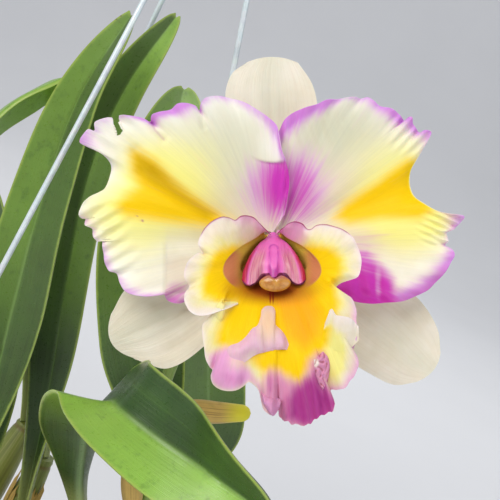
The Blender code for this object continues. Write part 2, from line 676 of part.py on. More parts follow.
def leaf_grid(line, half, sides, channel, taper, columns=5, rows=14):
    """A strap leaf with a channel down its middle, a folded foot and a rounded, notched tip."""
    spine = even_points(line, rows * 3 + 1)
    grid = []
    for i in range(columns):
        u = 2 * i / (columns - 1) - 1
        column = []
        for j in range(rows):
            v = 1 - (1 - j / (rows - 1)) ** 1.3
            s = v * (1 - 0.018 * (1 - abs(u)) ** 2 * smooth((v - 0.8) / 0.2))
            at = s * rows * 3
            k = min(int(at), rows * 3 - 1)
            p = spine[k].lerp(spine[k + 1], at - k)
            ahead = (spine[min(k + 2, rows * 3)] - spine[max(k - 1, 0)]).normalized()
            side = curve_point(sides, smooth(s))
            side = (side - ahead * side.dot(ahead)).normalized()
            face = side.cross(ahead)
            width = half * mix(0.26, 1.0, smooth(s / 0.42))
            width *= math.sqrt(max(0.006, 1 - max(0.0, (s - taper) / (1 - taper)) ** 2.4))
            fold = mix(1.15, channel / half, smooth(s / 0.35)) * width
            lay = math.sqrt(max(0.1, 1 - (fold / max(width, 0.1)) ** 2 * 0.5))
            rise = math.sqrt(u * u + 0.02) - 0.14
            column.append(p + side * (u * width * lay) + face * (fold * rise))
        grid.append(column)
    return grid


def bulb_loops(foot, top, radius, sides=14, rows=10):
    """A furrowed spindle that stands on the rhizome and carries the leaf."""
    start = Vector((foot[0], foot[1], BULB_FOOT_Z))
    end = Vector(top)
    middle = start.lerp(end, 0.45) + Vector((start.x - end.x, start.y - end.y, 0)) * 0.08
    path = [curve_point([start, middle, end], k / (rows - 1)) for k in range(rows)]

    def size(t):
        return mix(4.4, radius, math.sin(math.pi * min(1.0, t * 0.9 + 0.08)) ** 0.8)

    loops = tube_loops(path, size, sides, ribs=7, rib_depth=0.05)
    for loop, z in ((loops[0], start.z), (loops[-1], end.z)):
        for p in loop:
            p.z = z
    return loops


def flat_line(points, z):
    return [Vector((x, y, z)) for x, y in points]


def make_flower_parts(finish):
    loft_solid("column", column_loops(), finish["column"], BLOOM)
    loft_solid("anther_cap", anther_loops(), finish["anther"], BLOOM)


def make_stalk(finish):
    """The flower stalk, from beside its leaf up to the back of the bloom."""
    end = BLOOM @ Vector((0.4, 0.8, STALK_TOP_Z))
    back = BLOOM @ Vector((0.2, -0.4, STALK_TOP_Z - OVARY_LENGTH))
    path = even_points(STALK_LINE + [tuple(back), tuple(end)], 22)

    def size(t):
        return 2.4 + 2.4 * smooth((t - 0.78) / 0.17)

    tube("flower_stalk", path, size, 8, finish["stalk"])
    path = even_points(SHEATH_LINE, 12)
    tube("flower_sheath", path, lambda t: 4.6 - 2.4 * smooth((t - 0.8) / 0.2) - 1.8 * smooth(1 - t * 4),
         8, finish["husk"], squash=0.85)


def make_leaves(finish):
    for name, line, half, sides, channel, taper in LEAVES:
        grid = leaf_grid(line, half, sides, channel, taper)
        for column in grid:
            column[0].z = line[0][2]
        middle = (len(grid) - 1) / 2
        blade_solid(name, grid, lambda i, j: LEAF_THICK + 0.5 * (1 - abs(i - middle) / middle),
                    finish["leaf"], flat_foot=True)


def make_bulbs(finish):
    for name, foot, top, radius in BULBS:
        loft_solid(name, bulb_loops(foot, top, radius), finish["bulb"])
    z = MEDIUM_Z + GAP + RHIZOME_RADIUS
    for name, line in RHIZOMES:
        path = even_points([tuple(p) for p in flat_line(line, z)], 2 + 2 * len(line))

        def size(t):
            return RHIZOME_RADIUS * mix(0.72, 1.0, math.sin(math.pi * t) ** 0.2)

        tube(name, path, size, 10, finish["bulb"])
    z = MEDIUM_Z + GAP + ROOT_RADIUS
    for name, line in ROOTS:
        path = even_points([tuple(p) for p in flat_line(line, z)], 12)
        tube(name, path, lambda t: ROOT_RADIUS * (1 - 0.3 * t ** 4), 8, finish["root"])
    path = even_points(ROOT_OVER_RIM, 18)
    tube("root_over_rim", path, lambda t: ROOT_RADIUS * (1 - 0.3 * t ** 4), 8, finish["root"])


# Pot, medium and hanger

def pot_inside(z):
    """Inner radius of the pot at a height."""
    floor = POT_BASE_Z + POT_FLOOR
    low = POT_BASE_RADIUS - POT_WALL
    high = POT_BAND_RADIUS - POT_WALL
    return mix(low, high, (z - floor) / (RIM_Z - floor))


def make_pot(finish):
    band = RIM_Z - POT_BAND_HEIGHT
    under_band = pot_inside(band) + POT_WALL
    profile = [
        (POT_BASE_RADIUS, POT_BASE_Z),
        (under_band, band),
        (POT_BAND_RADIUS - 1.6, band),
        (POT_BAND_RADIUS, RIM_Z - 1.5),
        (POT_BAND_RADIUS - 1.2, RIM_Z),
        (pot_inside(RIM_Z) + 1.0, RIM_Z),
        (pot_inside(RIM_Z), RIM_Z - 1.2),
        (pot_inside(POT_BASE_Z + POT_FLOOR), POT_BASE_Z + POT_FLOOR),
    ]
    pot = lathe("pot", profile, POT_SIDES, finish["clay"])
    cutters = []
    for angle in WIRE_ANGLES:
        a = math.radians(angle)
        ends = [(r * math.cos(a), r * math.sin(a), WIRE_HOLE_Z) for r in (64.0, 84.0)]
        cutters.append(cylinder_between("wire_hole", *ends, WIRE_HOLE_RADIUS, 12, finish["clay"]))
    for angle in (60.0, 180.0, 300.0):
        a = math.radians(angle)
        x, y = DRAIN_RING * math.cos(a), DRAIN_RING * math.sin(a)
        ends = [(x, y, POT_BASE_Z - 2.0), (x, y, POT_BASE_Z + POT_FLOOR + 2.0)]
        cutters.append(cylinder_between("drain_hole", *ends, DRAIN_RADIUS, 16, finish["clay"]))
    cut(pot, cutters)


def near_line(x, y, points):
    """The distance from a place on the medium to a line laid on it."""
    best = 1e9
    for k in range(49):
        p = curve_point([(a, b, 0.0) for a, b in points], k / 48)
        best = min(best, math.hypot(x - p.x, y - p.y))
    return best


def make_medium(finish):
    """The packed bark: a plug that fills the pot, with chips standing a little out of its top."""
    floor = POT_BASE_Z + POT_FLOOR + GAP
    profile = [(pot_inside(floor) - 0.35, floor), (pot_inside(MEDIUM_Z) - 0.35, MEDIUM_Z)]
    medium = lathe("bark_medium", profile, POT_SIDES, finish["bark"])
    draw = random.Random(CHIP_SEED)
    chips = []
    while len(chips) < CHIP_COUNT:
        x = draw.uniform(-60, 60)
        y = draw.uniform(-60, 60)
        size = (draw.uniform(4.0, 6.5), draw.uniform(2.6, 4.4), draw.uniform(1.8, 3.4))
        turn = draw.uniform(0, math.pi)
        tilt = (draw.uniform(-0.3, 0.3), draw.uniform(-0.3, 0.3))
        if math.hypot(x, y) > 58:
            continue
        if min(near_line(x, y, line) for _, line in RHIZOMES) < RHIZOME_RADIUS + 7.5:
            continue
        if min(near_line(x, y, line) for _, line in ROOTS) < ROOT_RADIUS + 7.5:
            continue
        if near_line(x, y, [p[:2] for p in ROOT_OVER_RIM[:4]]) < ROOT_RADIUS + 7.5:
            continue
        if any(math.hypot(x - a, y - b) < 6.4 for a, b in chips):
            continue
        chips.append((x, y))
        points = [Vector((sx * size[0], sy * size[1], sz * size[2]))
                  for sz in (-1, 1) for sy in (-1, 1) for sx in (-1, 1)]
        place = Matrix.Translation(Vector((x, y, MEDIUM_Z + 0.4)))
        place = place @ Matrix.Rotation(turn, 4, "Z") @ Matrix.Rotation(tilt[0], 4, "X")
        place = place @ Matrix.Rotation(tilt[1], 4, "Y")
        faces = [(0, 2, 3, 1), (4, 5, 7, 6), (0, 1, 5, 4), (2, 6, 7, 3), (0, 4, 6, 2), (1, 3, 7, 5)]
        mesh_object(f"chip_{len(chips)}", points, faces, finish["bark"], place)
    join_solids(medium, [bpy.data.objects[f"chip_{k + 1}"] for k in range(len(chips))])


def wire_path(angle):
    """One hanger wire: straight down from the collar, in through the pot's band and up again."""
    a = math.radians(angle)
    line = [(WIRE_TOP_RADIUS, WIRE_TOP_Z), (WIRE_FOOT_RADIUS, -424.0), (WIRE_FOOT_RADIUS + 0.1, -427.6),
            (79.6, -430.4), (76.6, WIRE_HOLE_Z), (73.0, WIRE_HOLE_Z), (69.6, WIRE_HOLE_Z),
            (66.4, -430.5), (64.6, -428.0), (64.4, -423.5)]
    return [Vector((r * math.cos(a), r * math.sin(a), z)) for r, z in line]


def make_hanger(finish):
    for name, angle in zip(("wire_right", "wire_rear", "wire_front"), WIRE_ANGLES):
        tube(name, wire_path(angle), WIRE_RADIUS, 8, finish["steel"])
    collar = cylinder_between("hook", (0, 0, COLLAR_BOTTOM), (0, 0, COLLAR_TOP), COLLAR_RADIUS, 24,
                              finish["steel"])
    bend = HOOK_INNER_RADIUS + HOOK_WIRE_RADIUS
    line = [Vector((0, 0, -40)), Vector((0, 0, -34)), Vector((0, 0, -29.5)), Vector((1.6, 0, -25.6)),
            Vector((5.0, 0, -22.2))]
    for k in range(15):
        a = math.radians(-40 + 240 * k / 14)
        line.append(Vector((bend * math.cos(a), 0, -HOOK_INNER_RADIUS + bend * math.sin(a))))
    line.append(Vector((-12.6, 0, -19.4)))
    line.append(Vector((-15.6, 0, -23.0)))
    join_solids(collar, [tube("hook_wire", line, HOOK_WIRE_RADIUS, 10, finish["steel"])])
    cutters = []
    for angle in WIRE_ANGLES:
        top, foot = wire_path(angle)[:2]
        way = (foot - top).normalized()
        cutters.append(cylinder_between("socket", top - way * 0.6, top + way * 14.0, WIRE_HOLE_RADIUS, 12,
                                        finish["steel"]))
    cut(collar, cutters)


def main():
    for old in list(bpy.data.objects):
        bpy.data.objects.remove(old)
    finish = finishes()
    make_bloom(finish)
    make_flower_parts(finish)
    make_stalk(finish)
    make_leaves(finish)
    make_bulbs(finish)
    make_pot(finish)
    make_medium(finish)
    make_hanger(finish)


main()
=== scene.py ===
"""The looks of a cattleya orchid in bloom, in a clay pot that hangs on three wires and a hook.

The bloom is modelled in its own frame, in millimetres: right, up and forward from its middle.
Everything else is in the part's frame, also in millimetres until a mesh is made.
"""

import math
import random

import bpy
import numpy as np
from mathutils import Matrix, Vector

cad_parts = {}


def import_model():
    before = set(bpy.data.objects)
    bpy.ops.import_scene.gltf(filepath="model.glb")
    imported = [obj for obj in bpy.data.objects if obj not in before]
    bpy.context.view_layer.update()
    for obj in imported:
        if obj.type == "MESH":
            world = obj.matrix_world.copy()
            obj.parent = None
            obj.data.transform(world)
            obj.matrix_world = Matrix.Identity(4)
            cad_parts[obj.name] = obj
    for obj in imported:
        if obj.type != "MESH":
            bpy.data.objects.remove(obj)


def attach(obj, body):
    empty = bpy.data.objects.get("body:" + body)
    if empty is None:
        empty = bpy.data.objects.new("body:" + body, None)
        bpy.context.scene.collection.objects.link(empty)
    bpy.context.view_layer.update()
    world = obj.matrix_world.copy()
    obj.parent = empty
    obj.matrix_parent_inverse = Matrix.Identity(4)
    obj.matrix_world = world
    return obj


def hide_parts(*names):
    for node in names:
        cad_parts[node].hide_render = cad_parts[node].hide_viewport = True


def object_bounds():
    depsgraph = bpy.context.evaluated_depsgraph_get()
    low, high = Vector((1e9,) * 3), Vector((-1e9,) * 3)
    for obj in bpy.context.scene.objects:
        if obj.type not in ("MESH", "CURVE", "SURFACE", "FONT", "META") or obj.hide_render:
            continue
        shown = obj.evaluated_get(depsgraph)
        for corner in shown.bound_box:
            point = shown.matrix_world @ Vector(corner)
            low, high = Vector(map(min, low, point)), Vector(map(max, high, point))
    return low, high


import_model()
cad_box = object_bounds()

MM = 0.001
# How finely a line is stepped where points are found along it
LINE_STEPS = 200
# A name that ends in GRID holds a sheet's columns and rows, or a tube's rings and sides

# The bloom: its middle, its lean to its own right and how far it looks up
BLOOM_CENTRE = (70, -60, -205)
BLOOM_LEAN = math.radians(23)
BLOOM_LIFT = math.radians(13)

# The camera looks square at the bloom: its distance, the height it takes in there, and how far
# the bloom's middle lies to the right of the picture's
CAMERA_DISTANCE = 430
CAMERA_HEIGHT = 183.75
CAMERA_ASIDE = 7.72
SENSOR = 36


def bloom_matrix():
    """Turns the bloom's own right, up and forward into the part's frame, both in millimetres."""
    rise = Vector((0, math.sin(BLOOM_LIFT), math.cos(BLOOM_LIFT)))
    level = Vector((1, 0, 0))
    right = math.cos(BLOOM_LEAN) * level + math.sin(BLOOM_LEAN) * rise
    up = math.cos(BLOOM_LEAN) * rise - math.sin(BLOOM_LEAN) * level
    out = Vector((0, -math.cos(BLOOM_LIFT), math.sin(BLOOM_LIFT)))
    return Matrix.Translation(Vector(BLOOM_CENTRE)) @ Matrix((right, up, out)).transposed().to_4x4()


BLOOM = bloom_matrix()
LEVEL = Matrix.Identity(4)


# Numbers and curves, all on arrays

def smooth(t):
    """An even step from 0 to 1."""
    t = np.clip(t, 0, 1)
    return t * t * (3 - 2 * t)


def mix(a, b, t):
    return a + (b - a) * t


def bump(t):
    """A soft hump, 1 at 0 and nothing past 2 or so."""
    return np.exp(-t * t)


def hill(t):
    """From 0 up to 1 and down again while t goes from 0 to 1."""
    return np.sin(math.pi * t)


def span(count):
    """Even steps from 0 to 1."""
    return np.linspace(0, 1, count)


def turns(count):
    """Even turns round a ring, without its end."""
    return np.linspace(0, 2 * math.pi, count, endpoint=False)


def curve(points, shares):
    """The points at shares, 0 to 1, of a smooth line through the given ones, counted by point."""
    p = np.asarray(points, float)
    last = len(p) - 1
    at = np.clip(shares, 0, 1) * last
    i = np.minimum(at.astype(int), last - 1)
    f = (at - i)[..., None]
    q = np.vstack([2 * p[0] - p[1], p, 2 * p[-1] - p[-2]])
    a, b, c, d = q[i], q[i + 1], q[i + 2], q[i + 3]
    return 0.5 * (2 * b + (c - a) * f + (2 * a - 5 * b + 4 * c - d) * f ** 2
                  + (3 * b - a - 3 * c + d) * f ** 3)


def even_curve(points, count):
    """Points at even distances along the smooth line through the given ones."""
    fine = curve(points, span(24 * (len(points) - 1) + 1))
    run = np.concatenate([[0], np.cumsum(np.linalg.norm(np.diff(fine, axis=0), axis=1))])
    want = np.linspace(0, run[-1], count)
    return np.stack([np.interp(want, run, fine[:, k]) for k in range(fine.shape[1])], axis=1)


def along(line, shares):
    """The points at shares, 0 to 1, of a line of evenly spaced ones."""
    return np.stack([np.interp(shares, span(len(line)), row) for row in line.T], axis=-1)


def name_seed(name):
    """A number of a piece's own, so that no two pieces ripple alike."""
    return sum(ord(letter) for letter in name)


def by_turn(turn, stops):
    """A value that goes evenly from stop to stop, each an angle in degrees and a value."""
    stops = sorted(stops)
    return np.interp(np.degrees(turn), [s[0] for s in stops], [s[1] for s in stops])


def line_distance(x, y, points):
    """Distance from each place to a bent line in the plane."""
    best = np.full(np.shape(x), 1e9)
    for (ax, ay), (bx, by) in zip(points, points[1:]):
        dx, dy = bx - ax, by - ay
        t = np.clip(((x - ax) * dx + (y - ay) * dy) / (dx * dx + dy * dy), 0, 1)
        best = np.minimum(best, np.hypot(x - ax - t * dx, y - ay - t * dy))
    return best


def spot(x, y, cx, cy, rx, ry, soft=0.6):
    """1 inside an oval, fading to 0 across its rim; soft is the fade's share of the radius."""
    d = np.hypot((x - cx) / rx, (y - cy) / ry)
    return smooth((1 + soft - d) / (2 * soft))


def region(x, y, outline, soft):
    """1 inside a closed outline, fading to 0 over soft on both sides of its line."""
    inside = np.zeros(np.shape(x), bool)
    for (ax, ay), (bx, by) in zip(outline, outline[1:] + outline[:1]):
        level = by - ay if by != ay else 1e-9
        inside ^= ((ay > y) != (by > y)) & (x < ax + (y - ay) * (bx - ax) / level)
    gap = line_distance(x, y, outline + outline[:1])
    return smooth(0.5 + np.where(inside, gap, -gap) / (2 * soft))


def pleats(x, y, angle, pitch, ridge):
    """A wave across the plane whose crests run at an angle; one crest lies at offset ridge."""
    a = math.radians(angle)
    s = -math.sin(a) * x + math.cos(a) * y
    return np.cos(2 * math.pi * (s - ridge) / pitch)


# Objects

def only(obj):
    """Makes one object the only selected and active one."""
    bpy.ops.object.select_all(action="DESELECT")
    obj.select_set(True)
    bpy.context.view_layer.objects.active = obj


def apply_all(obj):
    only(obj)
    for step in list(obj.modifiers):
        bpy.ops.object.modifier_apply(modifier=step.name)


def seat(obj, material, slot, *nodes):
    """Gives a finished piece its material, hangs it under the root body and hides the CAD nodes that it
    stands in for.
    """
    obj.data.materials.clear()
    obj.data.materials.append(material)
    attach(obj, "root")
    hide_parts(*nodes)
    return obj


def world(points, place):
    """Millimetre points, placed by a matrix in millimetres, as metres in the part's frame."""
    m = np.array(place)
    p = np.asarray(points, float).reshape(-1, 3)
    return (p @ m[:3, :3].T + m[:3, 3]) * MM


def set_marks(mesh, marks):
    """Stores named values on the mesh's points, for its material to read."""
    for name, values in marks.items():
        layer = mesh.attributes.new(name, "FLOAT", "POINT")
        layer.data.foreach_set("value", np.asarray(values, np.float32).ravel())


def spread(marks, grid):
    """Marks as arrays of the grid's own size, from numbers, rows or columns."""
    return {key: np.broadcast_to(values, grid.shape[:2]) for key, values in marks.items()}


def grid_object(name, points, place, marks):
    """A grid with its points moved to their places (rows, columns, 3) and its marks on them."""
    rows, columns = points.shape[:2]
    bpy.ops.object.select_all(action="DESELECT")
    bpy.ops.mesh.primitive_grid_add(x_subdivisions=columns - 1, y_subdivisions=rows - 1, size=1)
    obj = bpy.context.object
    obj.name = obj.data.name = name + "_shape"
    obj.data.vertices.foreach_set("co", world(points, place).ravel())
    set_marks(obj.data, marks)
    return obj


def sheet(name, grid, place, thick, marks, front=None, thin=None, empty=None):
    """A leaf-thin closed body from a grid of front points (columns, rows, 3).

    front is a direction that the face should look in, in the grid's own frame. thin gives each
    point's share of the thickness, and empty the cells that are left out."""
    if thin is not None:
        marks = {**marks, "thin": thin}
    marks = spread(marks, grid)
    i, j = grid.shape[0] // 2, grid.shape[1] // 2
    facing = np.cross(grid[i + 1, j] - grid[i - 1, j], grid[i, j + 1] - grid[i, j - 1])
    if front is not None and np.dot(facing, front) < 0:
        grid = grid[::-1]
        marks = {key: values[::-1] for key, values in marks.items()}
        empty = None if empty is None else empty[::-1]
    across = {key: values.T for key, values in marks.items()}
    obj = grid_object(name, grid.transpose(1, 0, 2), place, across)
    mesh = obj.data
    if empty is not None:
        for part in (mesh.vertices, mesh.edges):
            part.foreach_set("select", [False] * len(part))
        mesh.polygons.foreach_set("select", empty.T.ravel())
        bpy.ops.object.mode_set(mode="EDIT")
        bpy.ops.mesh.select_mode(type="FACE")
        bpy.ops.mesh.delete(type="FACE")
        bpy.ops.object.mode_set(mode="OBJECT")
    wall = obj.modifiers.new("thickness", "SOLIDIFY")
    wall.thickness = thick * MM
    wall.offset = -1
    if thin is not None:
        group = obj.vertex_groups.new(name="thin")
        for k, share in enumerate(across["thin"].ravel()):
            group.add([k], float(share), "REPLACE")
        wall.vertex_group = "thin"
        wall.thickness_vertex_group = 0
    front_count = len(mesh.vertices)
    apply_all(obj)
    obj.vertex_groups.clear()
    set_marks(mesh, {"back": np.arange(len(mesh.vertices)) >= front_count})
    bpy.ops.object.shade_smooth_by_angle(angle=math.radians(55))
    return obj


def tube(name, loops, place, marks=None, sharp=50):
    """A closed body through rings of points (rings, points, 3), with its UV map unrolled."""
    def wrapped(values):
        return np.concatenate([values, values[:, :1]], axis=1)

    marks = {key: wrapped(values) for key, values in spread(marks or {}, loops).items()}
    obj = grid_object(name, wrapped(loops), place, marks)
    bpy.ops.object.mode_set(mode="EDIT")
    bpy.ops.mesh.select_all(action="SELECT")
    bpy.ops.mesh.remove_doubles(threshold=1e-6)
    bpy.ops.mesh.fill_holes(sides=0)
    bpy.ops.mesh.select_all(action="SELECT")
    bpy.ops.mesh.normals_make_consistent(inside=False)
    bpy.ops.object.mode_set(mode="OBJECT")
    bpy.ops.object.shade_smooth_by_angle(angle=math.radians(sharp))
    return obj


def rounded(points, reach, steps=6):
    """A bent line of points with each corner cut back by reach and rounded off."""
    p = np.asarray(points, float)
    made = [p[0]]
    for a, b, c in zip(p, p[1:], p[2:]):
        back, on = a - b, c - b
        start = b + back * min(reach / np.linalg.norm(back), 0.45)
        end = b + on * min(reach / np.linalg.norm(on), 0.45)
        for t in span(steps):
            made.append((1 - t) ** 2 * start + 2 * t * (1 - t) * b + t * t * end)
    return np.array(made + [p[-1]])


def turned(name, profile, sides):
    """A body turned round the hanging axis from a profile of (radius, height)."""
    c, s = np.cos(turns(sides)), np.sin(turns(sides))
    r, z = profile[:, :1], profile[:, 1:]
    return tube(name, np.stack([r * c, r * s, z + 0 * c], axis=2), LEVEL, sharp=40)


def carve(obj, kind, others):
    """Fuses other bodies with this one, or cuts them out of it."""
    for other in others:
        step = obj.modifiers.new("carve", "BOOLEAN")
        step.operation = kind
        step.solver = "EXACT"
        step.object = other
    apply_all(obj)
    for other in others:
        bpy.data.objects.remove(other)


def rings_round(path, radius, sides, rib=1, squash=1):
    """Rings of points round a path (n, 3).

    radius is one number or a column with one for each ring, and rib a share of it for each point."""
    path = np.asarray(path, float)
    last = len(path) - 1
    reach = np.broadcast_to(radius * rib, (len(path), sides))
    c, s = np.cos(turns(sides)), squash * np.sin(turns(sides))
    loops = []
    side = None
    for k, middle in enumerate(path):
        ahead = path[min(k + 1, last)] - path[max(k - 1, 0)]
        ahead /= np.linalg.norm(ahead)
        if side is None:
            side = np.cross([0, 1, 0] if abs(ahead[1]) < 0.8 else [1, 0, 0], ahead)
        side = side - ahead * np.dot(side, ahead)
        side /= np.linalg.norm(side)
        loops.append(middle + np.outer(reach[k] * c, side) + np.outer(reach[k] * s, np.cross(ahead, side)))
    return np.array(loops)


# Materials

def colour(r, g, b):
    """A colour from its red, green and blue as seen, 0 to 255, in the renderer's own values."""
    seen = [c / 255 for c in (r, g, b)]
    return tuple(c / 12.92 if c <= 0.04045 else ((c + 0.055) / 1.055) ** 2.4 for c in seen) + (1,)


class Paint:
    """A material and the few kinds of node that this script's finishes are mixed from.

    Wherever a node takes a value, the name of one of the mesh's marks stands for that mark."""

    def __init__(self, name, roughness=0.5, **shader):
        self.material = bpy.data.materials.new(name)
        self.material.use_nodes = True
        self.tree = self.material.node_tree
        self.shader = self.tree.nodes["Principled BSDF"]
        self.base = self.normal = None
        for key, value in dict(shader, Roughness=roughness).items():
            self.shader.inputs[key.replace("_", " ")].default_value = value

    def put(self, socket, value):
        """Links an output or a mark to a socket, or sets the socket to a plain value."""
        if isinstance(value, str):
            value = self.node("Attribute", {}, "Fac", attribute_name=value)
        if isinstance(value, bpy.types.NodeSocket):
            self.tree.links.new(value, socket)
        else:
            socket.default_value = value

    def node(self, kind, inputs, output, **settings):
        """A new node with its inputs filled in; gives one of its outputs."""
        made = self.tree.nodes.new("ShaderNode" + kind)
        for key, value in settings.items():
            setattr(made, key, value)
        for key, value in inputs.items():
            self.put(made.inputs[key], value)
        return made.outputs[output]

    def place(self, scale=(1, 1, 1), uv=False):
        """The piece's own coordinates, stretched: in metres, or along its unrolled surface."""
        at = self.node("TexCoord", {}, "UV" if uv else "Object")
        return self.node("Mapping", {"Vector": at, "Scale": scale}, "Vector")

    def cloud(self, scale, detail=3, rough=0.5, warp=0, stretch=(1, 1, 1), uv=False):
        return self.node("TexNoise", {"Vector": self.place(stretch, uv), "Scale": scale, "Detail": detail,
                                      "Roughness": rough, "Distortion": warp}, "Fac")

    def streaks(self, across, along, detail=3, rough=0.5, warp=0):
        """A cloud drawn out along the unrolled surface."""
        return self.cloud(1, detail, rough, warp, (across, along, 1), True)

    def cells(self, scale, output="Distance"):
        return self.node("TexVoronoi", {"Vector": self.place(), "Scale": scale}, output)

    def sum(self, kind, a, b=0, c=0):
        return self.node("Math", {0: a, 1: b, 2: c}, 0, operation=kind)

    def times(self, a, b):
        return self.sum("MULTIPLY", a, b)

    def around(self, value, size):
        """A value from 0 to 1 as a push to both sides of nothing."""
        return self.times(self.sum("SUBTRACT", value, 0.5), size)

    def step(self, value, low, high, start=0, end=1):
        """A smooth step of a value from low to high."""
        return self.node("MapRange", {"Value": value, "From Min": low, "From Max": high, "To Min": start,
                                      "To Max": end}, "Result", interpolation_type="SMOOTHSTEP")

    def blend(self, share, under, over, kind="MIX"):
        return self.node("Mix", {"Factor": share, "A": under, "B": over}, "Result",
                         data_type="RGBA", blend_type=kind)

    def ground(self, share, one, other):
        """The first colour, mixed from two."""
        self.base = self.blend(share, colour(*one), colour(*other))

    def coat(self, share, tone, strength=1):
        """Lays a colour over what is there, by a share from 0 to 1."""
        if strength != 1:
            share = self.times(share, strength)
        self.base = self.blend(share, self.base, colour(*tone))

    def tint(self, mark, push, size, low, high, tone, strength=1):
        """A marked patch of colour whose rim is drawn out by a push; gives the patch."""
        patch = self.step(self.sum("MULTIPLY_ADD", push, size, mark), low, high)
        self.coat(patch, tone, strength)
        return patch

    def shade(self, light):
        """Darkens or lightens what is there by a number round 1."""
        grey = self.blend(light, (0, 0, 0, 1), (1, 1, 1, 1))
        self.base = self.blend(1, self.base, grey, "MULTIPLY")

    def relief(self, height, depth, strength=1):
        """Bump over what is there: depth is the height's real size in millimetres."""
        inputs = {"Distance": depth * MM, "Strength": strength, "Height": height}
        if self.normal is not None:
            inputs["Normal"] = self.normal
        self.normal = self.node("Bump", inputs, "Normal")

    def finish(self, rough=None):
        for key, value in (("Base Color", self.base), ("Roughness", rough), ("Normal", self.normal)):
            if value is not None:
                self.put(self.shader.inputs[key], value)
        return self.material


def petal_finish():
    """Cream petals: a golden middle, lilac margins and rose patches, all drawn out in fine veins."""
    p = Paint("petal", Specular_IOR_Level=0.15, Subsurface_Weight=0.2, Subsurface_Scale=0.0015,
              Subsurface_Radius=(1, 0.7, 0.55))
    veins = p.streaks(120, 1.6, 4, 0.6, 0.35)
    push = p.sum("ADD", p.around(veins, 0.5), p.around(p.streaks(38, 1.6, 3, 0.55, 0.6), 0.6))
    p.ground(p.step(p.cloud(120, 4, 0.55), 0.35, 0.7), (244, 239, 222), (238, 233, 210))
    # Beige: on the left petal this is painted shade, near the column and past the fold at its lower left
    p.coat("tan", (228, 214, 194))
    # Grey-green: painted shade at the top middle of the petals, with a little green tint
    p.coat("green", (208, 208, 182))
    p.coat("white", (250, 247, 244))
    p.tint("lemon", push, 0.3, 0, 1, (252, 244, 120), 0.8)
    p.tint("gold", push, 0.5, 0.05, 0.95, (250, 205, 0))
    # Deeper gold along the groove: partly the gold's own deeper tone, partly painted shade in the groove's
    # valley
    p.tint("deep", push, 0.6, 0.1, 1, (208, 168, 0))
    p.tint("lilac", push, 1.1, 0.05, 1, (212, 130, 224), 0.9)
    p.tint("rose", push, 1, 0.08, 1, (204, 58, 182))
    p.coat("line", (150, 50, 130))
    p.coat("back", (234, 228, 208), 0.5)
    p.shade(p.step(veins, 0.3, 0.75, 0.955, 1.02))
    sparkle = p.cloud(2600, 2, 0.7)
    p.relief(veins, 0.11, 0.8)
    p.relief(sparkle, 0.05, 0.5)
    return p.finish(p.step(sparkle, 0.3, 0.7, 0.42, 0.6))


def sepal_finish():
    """Ivory sepals with faint ribs along them."""
    p = Paint("sepal", Specular_IOR_Level=0.35, Subsurface_Weight=0.12, Subsurface_Scale=0.002,
              Subsurface_Radius=(1, 0.6, 0.4), Sheen_Weight=0.2, Sheen_Roughness=0.5)
    ribs = p.streaks(26, 1.4, 4, 0.6, 0.2)
    p.ground(p.step(p.cloud(90), 0.3, 0.7), (238, 230, 214), (228, 220, 198))
    p.coat(p.step(ribs, 0.42, 0.8, 0, 0.35), (206, 190, 166))
    p.coat("tan", (204, 188, 160))
    p.coat("green", (216, 216, 196))
    p.relief(ribs, 0.3, 0.7)
    p.relief(p.streaks(90, 3, 3, 0.6, 0.2), 0.08, 0.6)
    return p.finish(p.step(p.cloud(2600, 2, 0.7), 0.3, 0.7, 0.42, 0.58))


def lip_finish():
    """The lip: gold in the middle, cream and lilac at its frill, olive and rust in its throat."""
    p = Paint("lip", Specular_IOR_Level=0.15, Subsurface_Weight=0.12, Subsurface_Scale=0.002,
              Subsurface_Radius=(1, 0.45, 0.3))
    veins = p.streaks(190, 3, 4, 0.62, 0.3)
    broad = p.streaks(60, 2, 3, 0.55, 0.5)
    cloud = p.cloud(300, 4)
    push = p.sum("ADD", p.around(veins, 0.4), p.around(broad, 0.55))
    soft = p.around(cloud, 0.3)
    p.ground(p.step(cloud, 0.3, 0.7), (240, 226, 202), (234, 219, 190))
    p.coat("white", (246, 232, 228))
    p.coat(p.step(p.sum("ADD", "lemon", soft), 0.08, 0.62), (249, 238, 120), 0.8)
    gold = p.sum("ADD", p.sum("MULTIPLY_ADD", push, 0.25, "gold"), soft)
    p.coat(p.step(gold, 0.1, 0.9), (252, 206, 0))
    p.tint("amber", push, 0.3, 0.05, 1, (250, 174, 0))
    p.coat("peach", (247, 202, 164))
    p.tint("lilac", push, 0.5, 0.05, 1, (230, 154, 208), 0.9)
    p.tint("mauve", push, 0.6, 0.1, 1, (222, 148, 182))
    rose = p.tint("rose", push, 0.9, 0.1, 0.95, (176, 58, 140))
    p.coat(p.times(rose, p.step(broad, 0.5, 0.72, 0, 0.6)), (140, 30, 112))
    p.coat("olive", (216, 184, 70))
    p.coat("rust", (208, 132, 88))
    # Dark red-brown: painted shadow under the column and cap, painted shade deep in the throat and in the
    # crumple's wrinkles, and the throat's two thin threads
    p.coat("brown", (150, 48, 22))
    p.coat("line", (158, 48, 96))
    p.shade(p.step(veins, 0.3, 0.75, 0.94, 1.03))
    sparkle = p.cloud(3000, 2, 0.7)
    p.relief(veins, 0.14, 0.8)
    p.relief(sparkle, 0.05, 0.5)
    return p.finish(p.step(sparkle, 0.3, 0.7, 0.42, 0.6))


# Petals

